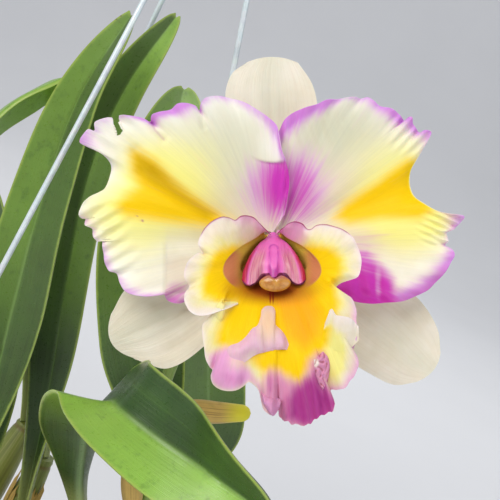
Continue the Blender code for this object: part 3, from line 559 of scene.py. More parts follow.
LEFT_HEART = (-1.5, 3, -1.6)
LEFT_FOLD_X = -38.9
LEFT_MARGIN = [
    (4.8, 12.9, 0.5), (6.2, 20.2, 1), (6.6, 26.5, 1.6), (5.2, 32.5, 3), (3.6, 36.8, 3.4), (2.6, 42.3, 3),
    (1.8, 45.8, 2), (-1.5, 48.7, 2.5), (-5, 51.3, 1.5), (-9.9, 54.2, 0.5), (-15.1, 55.9, -1),
    (-19.7, 56.6, 0), (-23.7, 55.9, 1.5), (-25.7, 53.8, 1.5), (-26.5, 51.5, -2.5), (-27.7, 53, 0),
    (-30.7, 53.8, 1.6), (-34.2, 53.5, 2.5), (-36.8, 51.5, 1.2), (-40.8, 50.5, 3), (-43.7, 49.2, 2.5),
    (-44.6, 47.4, -3), (-46.8, 48.5, -1.5), (-49.8, 49, 1), (-53.4, 49.2, 3), (-56.6, 49, 1.5),
    (-57.8, 48.6, 0.5), (-60.2, 48.4, 2), (-64.2, 46.7, 3.5), (-64.6, 43.7, 1), (-67, 44.2, 2),
    (-69, 41.7, 3), (-70, 39.4, 2), (-68, 38.1, 0), (-63.5, 36.1, -2.5), (-60.5, 33.6, -4),
    (-59.2, 30.6, -4.5), (-59.9, 26.5, -4), (-61.2, 23, -2.5), (-63, 21.5, -1), (-66.5, 19.5, 1.5),
    (-69, 16.5, 3.5), (-70, 12.9, 4), (-69, 11.4, 2.5), (-68, 11.9, 1.6), (-68, 9.2, 2.5),
    (-65.7, 7.9, 1.5), (-65.6, 7, 1), (-65, 5, 2.5), (-63.5, 3.1, 3), (-62.2, 3.9, 1), (-61.7, 0.8, 1),
    (-61.2, -2.7, 2), (-60.7, -5.2, 1.5), (-59.4, -7.7, 0.5), (-56.9, -8.7, -1), (-55.4, -11.8, 2),
    (-53.4, -14.8, 3), (-50.3, -16.3, 3.5), (-45.8, -16.8, 4), (-41.8, -16.5, 4), (-39, -16.3, 3),
    (-38.3, -18.3, 0), (-35.3, -19.6, -1), (-32.2, -19.3, -2), (-26.1, -16.5, -2.5), (-18.7, -11, -2.5),
    (-9.6, -4.4, -2.5),
]
RIGHT_HEART = (2.5, 3, -3.9)
RIGHT_MARGIN = [
    (-1.5, 13, -3.9), (-2, 24.3, -4.2), (-0.7, 36.8, -3.8), (2.9, 43.7, -2.5), (4.8, 47.6, -1),
    (7.7, 50, 0.5), (11.8, 51.8, 1.5), (16.5, 53.2, 2), (20.2, 54.8, 2.5), (24, 55.1, 1.5),
    (26.8, 55.6, 2), (30.6, 56, 1.5), (33, 55.6, 0), (35.3, 56, 1), (37.6, 54.6, 2), (40, 52.7, 1.5),
    (43.7, 51.8, 2.5), (46.6, 50.1, 1), (48.1, 48.7, 0), (49.4, 47.6, -1), (50.3, 48.7, 1.5),
    (51.5, 48.3, 2.5), (52.2, 46.2, 1), (53.6, 44.3, 0), (55, 43.1, -0.5), (55.9, 43.8, 1.5),
    (58.5, 43.1, 2.5), (57.6, 40.1, 0.5), (55.9, 36.8, -1.5), (54, 33.4, -3), (52.2, 30.1, -3.5),
    (51.6, 26.9, -4), (51.9, 23.2, -3.5), (53.3, 19.8, -2.5), (56.4, 17.1, -0.5), (60.6, 14.5, 2),
    (65.3, 13.1, 3.5), (69.5, 12.6, 4), (70.2, 11.5, 3), (68.6, 9.1, 0.5), (66.2, 7.2, 2),
    (64.6, 6.2, -1), (65, 3.5, 1.5), (64.3, 1.8, -0.5), (66.2, 0.2, 2.5), (66.9, -2.1, 2.5),
    (65.8, -4.5, 1.5), (63.4, -8.2, 2.5), (60.1, -12, 1), (56.9, -14.7, 2.5), (52.9, -16.9, 1),
    (47.4, -18.7, 2.5), (41.9, -19.3, 0.5), (36.4, -19.5, 2), (30.9, -18.9, 0), (26.5, -16.9, -0.5),
    (21.7, -12.9, -2), (10.7, -4.4, -3.5),
]
PETAL_COLUMNS = 300
PETAL_ROWS = 84
PETAL_CLAW = 4
PETAL_THICK = 0.75


def calm(values, rounds):
    """Values along a line, averaged with their neighbours over and over; the two ends stay."""
    values = values.copy()
    for _ in range(rounds):
        values[1:-1] = (values[:-2] + 2 * values[1:-1] + values[2:]) / 4
    return values


def even_turns(turn, rounds):
    """Turns that only ever go one way, close to the given ones, so that no two lines cross."""
    way = np.sign(turn[-1] - turn[0])
    steady = way * np.maximum.accumulate(way * calm(turn, rounds))
    return calm(mix(steady, np.linspace(turn[0], turn[-1], len(turn)), 0.15), rounds)


def fan(heart, margin, bow, frill=5):
    """A petal fanned out from its heart: points, turns, distance in from the rim, and reach, 0 to 1.

    The lines start out at even turns and only bend to the frill's own points near the margin, and
    the frill's rise and fall fades out over its own depth."""
    u = span(PETAL_COLUMNS)
    v = 1 - (1 - span(PETAL_ROWS)) ** 1.25
    edge = curve(margin, u)
    middle = np.array(heart[:2])
    flat = edge[:, :2] - middle
    turn = np.unwrap(np.arctan2(flat[:, 1], flat[:, 0]))
    eased = even_turns(turn, 90)
    way = np.stack([np.cos(eased), np.sin(eased)], axis=1)
    start = middle + way * PETAL_CLAW
    soft = calm(edge[:, :2], 60)
    length = np.linalg.norm(soft - start, axis=1)
    bend = start + way * (0.62 * length)[:, None]
    a = ((1 - v) ** 2)[None, :, None]
    b = (2 * v * (1 - v))[None, :, None]
    c = (v ** 2)[None, :, None]
    flat = a * start[:, None] + b * bend[:, None] + c * soft[:, None]
    flat = flat + (v ** 8)[None, :, None] * (edge[:, :2] - soft)[:, None]
    inward = (1 - v)[None] * length[:, None]
    broad = calm(edge[:, 2], 500)[:, None]
    reach = v[None] * (length / calm(length, 700))[:, None]
    height = heart[2] + bow * hill(np.minimum(reach, 1)) * smooth(reach * 3)
    height = height + (broad - heart[2]) * reach ** 2.2
    height = height + (edge[:, 2:] - broad) * np.exp(-(inward / frill) ** 1.3)
    grid = np.concatenate([flat, height[..., None]], axis=2)
    return grid, np.broadcast_to(eased[:, None], inward.shape), inward, np.minimum(reach, 1)


def rim_tint(turn, inward, stops):
    """A tint along the margin; each stop is an angle in degrees, its reach in and its strength."""
    reach = by_turn(turn, [(a, r) for a, r, _ in stops])
    strength = by_turn(turn, [(a, s) for a, _, s in stops])
    return strength * np.exp(-(inward / np.maximum(reach, 0.3)) ** 1.5)


LEFT_GOLD = [
    (-51.5, 37), (-48.5, 36.5), (-43, 33.5), (-36.5, 26.5), (-29, 20.2), (-20, 14), (-12, 8.5), (-9, 4),
    (-24, 8.4), (-41, 10.2), (-54, 12.5), (-58, 17), (-49.5, 23.4), (-51.5, 29),
]
LEFT_DEEP = [
    (-50, 36), (-48.5, 35.5), (-42.5, 32), (-36, 25.3), (-28.5, 19.2), (-20, 13.2), (-24, 11.8),
    (-38, 20.4), (-45.5, 24.8), (-49.8, 29),
]
RIGHT_GOLD = [
    (23, 11.6), (27.2, 17.4), (39.5, 25.5), (45.7, 30.6), (50, 33.5), (56, 34), (60, 20), (60.5, 15),
    (54.5, 11.2), (40, 11.5), (29, 9.6),
]
RIGHT_DEEP = [
    (27, 14), (38.5, 23), (46.3, 28.7), (56, 31), (57, 20), (43, 15.4),
]
LEFT_NOTCH = [
    (-55.2, 51), (-55.9, 48.1), (-53.9, 44), (-56.1, 41.2), (-57.1, 43), (-57.9, 47.6), (-59, 50.6),
]


def notched(grid, outline):
    """Moves the points inside an outline out to its line, and tells which cells lie inside it."""
    inside = region(grid[..., 0], grid[..., 1], outline, 1e-3) > 0.5
    best = np.full(inside.shape, 1e9)
    moved = grid[..., :2].copy()
    for a, b in zip(np.array(outline), np.array(outline[1:])):
        t = np.clip(((grid[..., :2] - a) @ (b - a)) / np.sum((b - a) ** 2), 0, 1)
        near = a + t[..., None] * (b - a)
        gap = np.linalg.norm(grid[..., :2] - near, axis=2)
        moved = np.where((gap < best)[..., None], near, moved)
        best = np.minimum(gap, best)
    grid[..., :2] = np.where(inside[..., None], moved, grid[..., :2])
    return inside[1:, 1:] & inside[:-1, :-1] & inside[1:, :-1] & inside[:-1, 1:]


# Along the margin: an angle in degrees, how far in the lilac reaches, how strong it is
LEFT_LILAC = [
    (60, 5, 0.8), (77, 5.5, 0.9), (84, 7, 0.9), (93, 6, 0.7), (99, 3.6, 0.6), (110, 2.8, 0.6),
    (117, 3.6, 0.9), (121, 5.4, 1.4), (126, 3.6, 1.2), (131, 5, 1.4), (135, 3, 0.6), (141, 4.6, 0.45),
    (144, 6, 0.6), (149, 7, 0.7), (153, 4, 0.4), (157, 1.4, 0.1), (166, 1, 0.1), (170, 2.6, 0.35),
    (180, 2.6, 0.42), (186, 3.2, 0.6), (195, 3.6, 0.6), (203, 4.6, 0.72), (210, 4, 0.7), (230, 3, 0.4),
]


def make_left_petal(finish):
    grid, turn, inward, v = fan(LEFT_HEART, LEFT_MARGIN, 2.5)
    x, y = grid[..., 0], grid[..., 1]
    groove = [(-49.5, 36), (-46.5, 29.5), (-38, 23.5), (-29.5, 17.5), (-20, 12.5), (-6, 5)]
    ridge = [(-56, 17.5), (-46, 18.5), (-34, 15), (-22, 10), (-8, 4)]
    z = -1.7 * bump(line_distance(x, y, groove) / 3) * smooth(v * 4)
    z += bump(line_distance(x, y, ridge) / 3.8) * smooth(v * 4)
    fingers = spot(x, y, -65, 9, 10, 9, 0.6) + 0.5 * spot(x, y, -59, -3.5, 9, 7, 0.6)
    z += 0.95 * fingers * pleats(x, y, 31, 4.8, 47.1)
    z += 0.6 * spot(x, y, -61, 43.5, 9, 7, 0.6) * pleats(x, y, 143, 6.2, 3.6)
    crease = line_distance(x, y, [(-44.6, 47.6), (-42.6, 44), (-39.4, 40.6)])
    z -= bump(crease / 1.3) * smooth((inward + 0.5) / 1.5)
    second = line_distance(x, y, [(-26.5, 51.6), (-25.4, 48.5), (-24.6, 45)])
    z -= 0.8 * bump(second / 1.1)
    flap = smooth((6.4 - x) / 1.6) * smooth((x + 9) / 9)
    flap_line = 32 + 0.035 * (x - 1) ** 2
    z += 0.5 * smooth((y - flap_line) / 1.2 + 0.5) * flap * smooth(1 - (y - 33) / 16)
    fold = smooth((x - LEFT_FOLD_X) / 1.6 + 0.5) * smooth(1 - (x + 37) / 12) * smooth((8 - y) / 9)
    z -= 0.6 * fold
    z += 0.3 * np.sin(turn * 46) * v ** 6 + 0.5 * np.sin(turn * 9 + 1) * hill(v)
    z += 0.25 * np.sin(turn * 21 + 2) * hill(v) ** 2
    grid[..., 2] += z
    lilac = rim_tint(turn, inward, LEFT_LILAC)
    under = smooth((flap_line - y) / 0.5 + 0.5)
    blob = spot(x, y, 4.2, 24.5, 8, 11.6, 0.9) * np.maximum(under, smooth((-4.5 - x) / 2))
    pink = spot(x, y, -34.5, -17, 6, 5.5, 0.7) * smooth((x - LEFT_FOLD_X) / 0.8 + 0.5)
    rose = blob + 0.52 * pink
    halo = spot(x, y, 1, 22, 12, 14, 0.6) * np.maximum(under, smooth((-4.5 - x) / 2))
    lilac = np.maximum(np.maximum(lilac, 0.55 * halo), 0.25 * pink)
    hem = spot(x, y, -49, -4, 13, 12, 0.7) * smooth((-38.6 - x) / 0.8 + 0.5)
    gold = region(x, y, LEFT_GOLD, 5.6) * (1 - 0.25 * smooth((-52 - x) / 9))
    line = 0.35 * bump(crease / 0.5) * smooth(inward / 2)
    line += 0.45 * bump((y - flap_line + 0.2) / 0.5) * flap
    # A painted highlight: white over the crest above the flap's fold line
    crest = flap * spot(x, y, 1, 37.5, 7, 5.5, 0.8)
    specks = spot(x, y, -47.2, 10.7, 0.45, 0.45) + spot(x, y, -49.2, 12.5, 0.35, 0.35)
    # Painted shade: beige near the column and on the far side of the fold, where the petal lies in shadow
    tan = 0.8 * spot(x, y, -10, 16, 19, 22, 0.7)
    shade_past_fold = spot(x, y, -32, -3, 8, 11, 0.5) * smooth((2 - y) / 9)
    tan = np.maximum(tan, 0.8 * shade_past_fold * smooth((x - LEFT_FOLD_X) / 0.6 + 0.5))
    marks = {
        # deep: darker gold along the groove, partly painted shade in its valley
        "gold": gold, "deep": region(x, y, LEFT_DEEP, 5), "lilac": lilac, "rose": rose,
        "lemon": np.clip(0.8 * region(x, y, LEFT_GOLD, 15) + 0.5 * spot(x, y, -52, 14, 20, 13, 0.8)
                         + 0.6 * spot(x, y, -33, 30, 16, 13, 0.9) + 0.3 * hem, 0, 1),
        "line": np.clip(line + 0.7 * specks, 0, 1), "tan": tan,
        # green: painted shade at the top middle, with a little green tint
        "green": 0.8 * spot(x, y, -18, 38, 20, 17, 0.9),
        "white": np.clip(0.8 * np.exp(-inward / 5) + 0.6 * hem + 0.35 * crest, 0, 1),
    }
    thin = 0.35 + 0.65 * smooth(inward / 3)
    petal = sheet("petal_left", grid, BLOOM, PETAL_THICK, marks, (0, 0, 1), thin, notched(grid, LEFT_NOTCH))
    return seat(petal, finish, "petal", "petal_left")


# Along the margin: an angle in degrees, how far in the lilac reaches, how strong it is
RIGHT_LILAC = [
    (-60, 9, 1.4), (-40, 10, 1.4), (-33, 9.5, 1.4), (-26, 8.5, 1.3), (-20, 8, 1.2), (-15, 7, 1.1),
    (-10, 6, 1), (-7, 5, 1), (-3, 3, 0.7), (0, 2.4, 0.5), (3, 3, 0.6), (8, 6.5, 0.8), (12, 3, 0.4),
    (15, 1, 0), (28, 1, 0), (32, 2.6, 0.4), (36, 4.6, 0.85), (41, 4.6, 0.9), (46, 4.6, 1.05),
    (51, 5.2, 1.05), (57, 3.6, 0.75), (63, 3, 0.6), (69, 3.2, 0.65), (75, 6.5, 1.2), (83, 8, 1.3),
    (90, 9, 1.4), (100, 9.5, 1.5), (130, 9.5, 1.5),
]


def make_right_petal(finish):
    grid, turn, inward, v = fan(RIGHT_HEART, RIGHT_MARGIN, 1.5)
    x, y = grid[..., 0], grid[..., 1]
    groove = [(8, 6), (22, 12), (34, 16.5), (44, 20.5), (52, 23)]
    z = -1.5 * bump(line_distance(x, y, groove) / 4.5) * smooth(v * 4)
    z += 0.75 * spot(x, y, 64, 7.8, 8, 6.5, 0.6) * pleats(x, y, -25, 2.5, 40.1)
    z += 0.65 * spot(x, y, 52, 44.5, 8.5, 7.5, 0.6) * pleats(x, y, 48, 3.4, -6)
    z += 0.5 * spot(x, y, 36, -14, 12, 9, 0.7) * pleats(x, y, 100, 6.4, -33)
    z += 0.35 * spot(x, y, 12, 46, 16, 9, 0.7) * pleats(x, y, 110, 5.2, -20)
    z += 0.3 * np.sin(turn * 50) * v ** 6 + 0.5 * np.sin(turn * 8 + 0.5) * hill(v)
    z += 0.25 * np.sin(turn * 19) * hill(v) ** 2
    grid[..., 2] += z
    lilac = rim_tint(turn, inward, RIGHT_LILAC)
    patch = region(x, y, [(22, -14), (30, 1), (36, 0.5), (40.5, -5), (45, -10.5), (47, -24),
                          (22, -24)], 4.2)
    # Painted shade: a darker purple along the lower right margin, laid on with the line colour
    hem = spot(x, y, 57, -14, 14, 9, 0.5) * np.exp(-(inward / 5) ** 1.5)
    rose = 0.62 * spot(x, y, 8, 22, 9, 11.5, 0.6)
    rose = np.maximum(rose, patch * (0.62 + 0.38 * smooth((-4 - y) / 8)))
    rose = rose - 0.5 * spot(x, y, 39.4, -12.5, 1, 5, 0.8)
    rose = np.maximum(rose, 0.28 * np.minimum(lilac, 1) * smooth((22 - x) / 10) * smooth((y - 22) / 8))
    lilac = np.maximum(lilac, 0.62 * spot(x, y, 10, 23, 11.5, 14, 0.7))
    lilac = np.maximum(lilac, 0.7 * np.maximum(patch, 0.5 * spot(x, y, 34, 0, 8, 8, 0.9)))
    marks = {
        "gold": region(x, y, RIGHT_GOLD, 4.4) * smooth(0.3 + inward / 1.6),
        # deep: darker gold along the groove, partly painted shade in its valley
        "deep": 0.3 * region(x, y, RIGHT_DEEP, 3.4), "lilac": lilac,
        "rose": np.clip(rose, 0, 1),
        "lemon": np.clip(0.8 * region(x, y, RIGHT_GOLD, 13) + 0.8 * spot(x, y, 50, 10, 15, 12, 0.8)
                         + 0.45 * spot(x, y, 41, 31, 14, 12, 0.9), 0, 1),
        "line": 0.5 * hem,
        "tan": np.clip(0.85 * spot(x, y, 20, 24, 17, 18, 0.8) + 0.5 * spot(x, y, 36, 3, 17, 8, 0.8), 0, 1),
        # green: painted shade at the top middle, with a little green tint
        "green": 0.95 * spot(x, y, 25, 44, 17, 12, 0.9),
        "white": np.clip(0.6 * np.exp(-inward / 4), 0, 1),
    }
    petal = sheet("petal_right", grid, BLOOM, PETAL_THICK, marks, (0, 0, 1),
                  0.35 + 0.65 * smooth(inward / 3))
    return seat(petal, finish, "petal", "petal_right")


# Sepals: two edges that close in on a rounded nose; then the middle's bow, the tip's depth and
# how far the nose stands out

SEPAL_SEAT = -5.8
SEPALS = {
    "sepal_top": ([(-4, 5.4), (-7.5, 20), (-13.5, 40), (-16.9, 56), (-14.8, 65.5), (-9, 70.2)],
                  [(4, 5.4), (8, 20), (14, 38), (17.3, 52), (15.6, 62), (10.4, 70)],
                  -2, -8, 2.2),
    "sepal_left": ([(-2.5, -0.5), (-18, -3.5), (-38, -8), (-53, -13.5), (-59.8, -24)],
                   [(-0.8, -6), (-12, -20), (-25, -36), (-38.6, -44.4), (-50, -40.8)],
                   -3, -9, 5.4),
    "sepal_right": ([(3.5, -0.5), (20, -3), (41, -8.5), (55, -18), (62.4, -29), (63.8, -38.6)],
                    [(1.8, -6), (13, -23), (26, -38.5), (38, -46.8), (46.5, -50.6), (54.4, -49.6)],
                    -3, -9, 2.2),
}
SEPAL_THICK = 1
SEPAL_GRID = (48, 90)


def make_sepal(name, finish):
    one, other, bow, tip_z, nose = SEPALS[name]
    columns, rows = SEPAL_GRID
    v = 1 - (1 - span(rows)) ** 1.35
    left, right = even_curve(one, LINE_STEPS), even_curve(other, LINE_STEPS)
    a, b = along(left, v), along(right, v)
    u = span(columns)[:, None]
    hollow = (2 * u - 1) ** 2
    way = left[-1] + right[-1] - left[0] - right[0]
    way = way / np.linalg.norm(way)
    flat = a[None] * (1 - u[..., None]) + b[None] * u[..., None]
    flat = flat + way * (nose * (1 - hollow) * v[None] ** 6)[..., None]
    width = np.linalg.norm(b - a, axis=1)[None]
    z = SEPAL_SEAT + (tip_z - SEPAL_SEAT) * v ** 2 + bow * hill(v)
    z = z[None] + 2.4 * hollow * hill(np.minimum(1, v * 1.1))[None] * width / 36
    ribs = 0.16 * np.cos(2 * math.pi * u * 5.5) * hill(v)[None]
    middle = -0.5 * bump((u - 0.5) / 0.035) * smooth((1 - v) * 4)[None]
    edge = 0.3 * np.sin(v * 23 + u * 9) * hollow * hill(v)[None]
    grid = np.concatenate([flat, (z + ribs + middle + edge)[..., None]], axis=2)
    inward = np.minimum(u, 1 - u) * width
    inward = np.minimum(inward, (1 - v)[None] * 60)
    marks = {
        "tan": 0.75 * smooth(1 - v / 0.62),
        "green": 0.5 * bump((u - 0.5) / 0.2) * smooth((v - 0.35) / 0.4)[None],
    }
    sepal = sheet(name, grid, BLOOM, SEPAL_THICK, marks, (0, 0, 1), 0.45 + 0.55 * smooth(inward / 2.5))
    return seat(sepal, finish, "sepal", name)


# Lip: margin points from the left of the column, down round the frill and up to its right

LIP_MARGIN = [
    (-0.4, 5.2, 14.2), (-3.2, 8.2, 17.8), (-5.7, 10.8, 21.5), (-8.4, 11.9, 24), (-11, 11.6, 26),
    (-12.8, 10.4, 25.5), (-14.9, 11.2, 27.5), (-17.4, 11.4, 28.5), (-20.7, 9.9, 29.5), (-23.5, 7.2, 29),
    (-25.2, 3.8, 28), (-25.3, 1.4, 29.5), (-23.9, -1.2, 26.5), (-25.5, -1, 29), (-28.2, -3.1, 31),
    (-29.9, -6.1, 30.5), (-30.2, -9.2, 30), (-29, -11.7, 28), (-28.8, -13, 28), (-30.1, -15, 30),
    (-30, -18.1, 31), (-28.1, -20.4, 31.5), (-25, -20.9, 32.5), (-21.6, -20.3, 32.5), (-19, -20, 32),
    (-17.2, -21.4, 32), (-16.9, -23.6, 32.5), (-18, -25.2, 32.5), (-20.2, -24.6, 31.5), (-22.4, -24, 31),
    (-23.8, -25.2, 31.5), (-24, -28.2, 32), (-23.3, -33.4, 32.5), (-22.8, -37.1, 31.5),
    (-21.4, -39.9, 31), (-20.6, -41, 30), (-21.1, -42.9, 31.5), (-20.3, -45.5, 33), (-17.9, -47.1, 34.5),
    (-14.8, -47.5, 35.5), (-12, -47.1, 35.5), (-9.8, -45.9, 35), (-8.1, -44.6, 34.5), (-6.4, -45.7, 33.5),
    (-4.7, -47.8, 33), (-4.2, -50.1, 33.5), (-3.3, -53.6, 34.5), (-1.7, -55.2, 34.5), (-0.4, -55.8, 34),
    (0.7, -54, 33), (1.8, -52.5, 31.5), (2, -55.1, 29.5), (2.9, -57.9, 29), (5.2, -58.7, 30.5),
    (7.6, -59.8, 29.5), (11.5, -59.8, 31), (13.5, -58.9, 29.5), (15.4, -57.1, 31), (17.9, -56.2, 29.5),
    (20.3, -55.1, 31), (21.3, -52.3, 30), (20.4, -50.4, 28.5), (18.8, -49.1, 28), (20.4, -47.9, 30),
    (22.9, -47.5, 31.5), (25, -46.6, 32), (26.3, -44.6, 31.5), (27.6, -43.2, 32.5), (28.6, -40.6, 33),
    (29.1, -38.2, 33.5), (28.5, -35.6, 32.5), (27.5, -34.1, 31), (28.4, -30.6, 32.5), (28.8, -27.1, 33.5),
    (28.4, -24.1, 32.5), (28.5, -20.8, 32), (27.9, -18.1, 31), (26.7, -16.1, 30), (24.2, -14.8, 28.5),
    (21.8, -13.7, 26.5), (22.3, -12.4, 27), (23.9, -11.2, 28.5), (26.4, -10.3, 30.5), (29, -9.1, 31.5),
    (30.1, -6.1, 31.5), (30.2, -2.7, 31), (29.1, 1, 31), (27.1, 4.6, 31.5), (24.4, 6.8, 31),
    (21.5, 8, 30), (18.2, 8.8, 29), (15.3, 8.6, 28), (13.4, 7.3, 26), (12, 7.4, 26), (10.3, 9, 26),
    (8.3, 9.7, 25), (6.3, 9.5, 22.5), (4.2, 8, 18.2), (1.6, 5.2, 14.2),
]
LIP_EYE = (0.3, -5.5)
LIP_COLUMNS = 400
LIP_ROWS_BACK = 5
LIP_ROWS_IN = 30
LIP_ROWS_OUT = 80
LIP_THICK = 0.7
FOLD_GRID = (80, 20)
LIP_GOLD = [
    (-7.5, 0.3), (-10.6, 1.4), (-14.7, 1.4), (-18.1, 0.3), (-20.8, -2), (-22.2, -5.5), (-23.5, -8.9),
    (-24.2, -12.3), (-23.2, -15.7), (-19.8, -17.4), (-16, -17.7), (-13, -18.1), (-15.7, -20.8),
    (-17.4, -23.9), (-18.8, -27.6), (-19.1, -31.4), (-16.7, -32.7), (-10.6, -34.8), (-6.5, -38.2),
    (-3.1, -41.3), (1.4, -41.5), (5.8, -44), (9.5, -46), (11.5, -42), (14, -36.5), (17.4, -34.8),
    (19.1, -30.7), (19.8, -25.6), (21.5, -21.1), (22.8, -18.1), (21.5, -15.3), (21.1, -12.3),
    (22.8, -9.2), (24.2, -6.1), (23.5, -2.4), (20.8, 0), (17.4, 1.4), (13.6, 2), (9.9, 1.7), (6.5, 0),
]
LIP_AMBER = [
    (0.5, -16.5), (13.5, -15), (16.5, -20), (16, -29), (11, -33.5), (6.5, -30.5), (2.7, -23.5),
]
LIP_MAUVE = [
    (-3.1, -42.6), (-0.8, -40.2), (2.5, -41.2), (6, -43.5), (9, -45), (11, -42.5), (12.5, -37.5),
    (15, -34.8), (17.1, -34.8), (17.4, -41.6), (19.4, -46.4), (24.2, -51.2), (22.2, -60.7), (3.1, -61.4),
    (-5.1, -51.2), (-3.8, -46.4),
]
LIP_MAGENTA = [
    (4.1, -57.3), (4.4, -50.5), (7.2, -46.4), (10.6, -43.3), (14, -42.3), (17.4, -45.7), (20.1, -48.4),
    (23.5, -51.2), (22.2, -56.6), (16, -60.7), (9.2, -60.7),
]
LIP_LEFT_LOBE = [
    (-21.5, -36.1), (-18.8, -34.1), (-16, -32.4), (-12.6, -34.1), (-9.2, -37.5), (-7.2, -41.6),
    (-4.4, -45.7), (-3.1, -49.8), (-10.6, -46.4), (-14.7, -49.8), (-22.2, -48.4), (-22.2, -40.9),
]
LIP_FOLDS = {
    # across each fold: x and y on its first edge, then on its second
    "tongue": [
        (-18.6, -38, -18, -31.6), (-15.6, -39, -14.8, -31.3), (-12, -39, -11.5, -31),
        (-9.2, -37.6, -9, -29.2), (-6.8, -36, -7.2, -26.9), (-4.8, -35.1, -5.1, -25.4),
        (-3.4, -34.8, -4.1, -22.8), (-2.7, -34.6, -3.8, -20.8), (-2, -34.4, -2.7, -19.6),
        (-1.4, -34.3, -1.4, -19.3), (-0.7, -34.1, 0.2, -19.6), (0, -34.1, 1, -21),
        (0.7, -33.9, 0.9, -23.5), (1.7, -33.9, 1.2, -25.7), (2.7, -33.9, 3.1, -27.5),
        (3.8, -33.9, 4.6, -29.7), (4.9, -33.9, 5.5, -32.2),
    ],
    "left_rim": [
        (-28.4, -14.6, -30.2, -16.6), (-27, -16, -28.6, -20.2), (-25, -16.8, -25.8, -22),
        (-22.4, -17.2, -22.4, -22), (-19.6, -17.4, -18.6, -20.8), (-16.6, -17.4, -15.6, -19.9),
        (-14.2, -17.4, -13.4, -19), (-12, -17.8, -11.8, -18.3),
    ],
    "right_fold": [
        (16.7, -30, 17.7, -24.9), (18.1, -31.7, 18.8, -21.7), (19.8, -33.1, 19.8, -19.9),
        (21.5, -34.1, 21.1, -21.8), (23.5, -34.4, 23.2, -22.3), (25.6, -34.1, 25.6, -22.8),
        (27.3, -32.7, 27.3, -23.9), (29.3, -30.7, 29, -25.9),
    ],
    "curl": [
        (-4.1, -48.1, -3.8, -50.5), (-2.4, -49.1, -2.7, -52.9), (-0.7, -50, -1.4, -54.9),
        (1, -50.1, 0.3, -56.3), (2.4, -50.8, 1.9, -54.9), (3.1, -51.8, 2.7, -52.9),
    ],
    "crumple": [
        (14, -37.2, 17.1, -34.4), (14, -39.9, 18.8, -36.5), (14.7, -42.6, 19.4, -39.6),
        (15.7, -45.4, 19.1, -43.6), (17.1, -48.1, 18.4, -47.4),
    ],
}


def lip_rings(turn):
    """Points of the lip inside its throat for each turn, from round the column's foot to the brim."""
    c, s = np.cos(turn), np.sin(turn)
    low = np.maximum(0, -s)
    top = np.maximum(0, s) ** 4
    parting = np.maximum(0, s) ** 30
    aside = np.copysign(parting, c)
    back = np.stack([COLUMN_MIDDLE + 2.2 * c, 2.8 + 2.2 * s, np.full_like(c, 0.9)], axis=1)
    seat_ring = np.stack([LIP_EYE[0] + 6.6 * c, -1.2 + 6.4 * s, np.full_like(c, 1.5)], axis=1)
    height = -3 + 7.4 * s
    hood = np.interp(height, [-11.2, -7.2, -2.8, 1.6, 3.6, 4.4], [11.2, 10.6, 8.6, 5.4, 3.4, 3])
    depth = np.interp(height, [-10.4, -7.2, -2.8, 1.6, 4.4], [12, 17, 15, 11, 7])
    collar = np.stack([COLUMN_MIDDLE + (hood + 1.2) * np.tanh(2.2 * c), height, depth], axis=1)
    wall = np.stack([LIP_EYE[0] + 12.8 * c + 2.2 * aside, -3.6 + 8.6 * s + 0.8 * parting,
                     15 + 8 * c * c - 6.5 * top], axis=1)
    brim = np.stack([LIP_EYE[0] - 0.4 + 17.1 * c + 1.6 * aside,
                     LIP_EYE[1] - 1.5 * c * c + 9 * s + 1.6 * parting + 1.4 * top - 2.4 * low ** 3,
                     27.5 - 15.5 * top - 3.8 * low ** 2], axis=1)
    return back, seat_ring, collar, wall, brim


def lip_surface():
    """The lip's grid, its turns, the distance in from its margin, and its shares.

    A share goes from -1 at the seat to 0 at the brim and 1 at the margin."""
    edge = curve(LIP_MARGIN, span(LIP_COLUMNS))
    fringe = smooth((-46 - edge[:, 1]) / 4) * smooth((edge[:, 0] - 1) / 3)
    edge[:, 1] += 0.35 * fringe * np.sin(span(LIP_COLUMNS) * 560)
    turn = np.unwrap(np.arctan2(edge[:, 1] - LIP_EYE[1], edge[:, 0] - LIP_EYE[0]))
    turn = np.where(turn < 0, turn + 2 * math.pi, turn)
    turn[0] = math.radians(93)
    turn[-1] = math.radians(447)
    eased = even_turns(turn, 140)
    back, seat_ring, collar, wall, brim = lip_rings(eased)
    length = np.linalg.norm(edge - brim, axis=1)
    side = np.abs(np.cos(eased))
    low = np.maximum(0, -np.sin(eased))
    lift = np.minimum(3 + 3 * low - side, 0.3 * length)
    way = np.stack([np.cos(eased), np.sin(eased), np.zeros_like(eased)], axis=1)
    even = calm(edge, 24)
    even[:, 2] = calm(edge[:, 2], 150)
    half = 0.5 * (brim + even)
    half += 0.25 * ((brim + way * (0.5 * length)[:, None]) - half) * np.array([1, 1, 0])
    half[:, 2] = 0.5 * (brim[:, 2] + calm(even, 200)[:, 2]) + lift
    outward = 1 - (1 - span(LIP_ROWS_OUT + 1)[1:]) ** 1.2
    grid = np.concatenate([
        through([back, seat_ring], span(LIP_ROWS_BACK + 1)[:-1]),
        through([seat_ring, collar, wall, brim, half], np.linspace(0, 3 / 4, LIP_ROWS_IN)),
        through([wall, brim, half, even], mix(1 / 3, 1, outward)),
    ]).transpose(1, 0, 2)
    grid[:, -len(outward):] += (outward ** 3)[None, :, None] * (edge - even)[:, None]
    share = np.concatenate([np.full(LIP_ROWS_BACK, -1), np.linspace(-1, 0, LIP_ROWS_IN), outward])
    steps = np.linalg.norm(np.diff(grid, axis=1), axis=2)
    inward = np.concatenate([np.cumsum(steps[:, ::-1], axis=1)[:, ::-1], np.zeros((len(grid), 1))], axis=1)
    shape = inward.shape
    return grid, np.broadcast_to(eased[:, None], shape), inward, np.broadcast_to(share[None], shape)


def through(rings, shares):
    """Rings in between the given ones: at each share, the points of smooth lines through them all."""
    flat = curve(np.stack(rings).reshape(len(rings), -1), shares)
    return flat.reshape(len(shares), -1, 3)


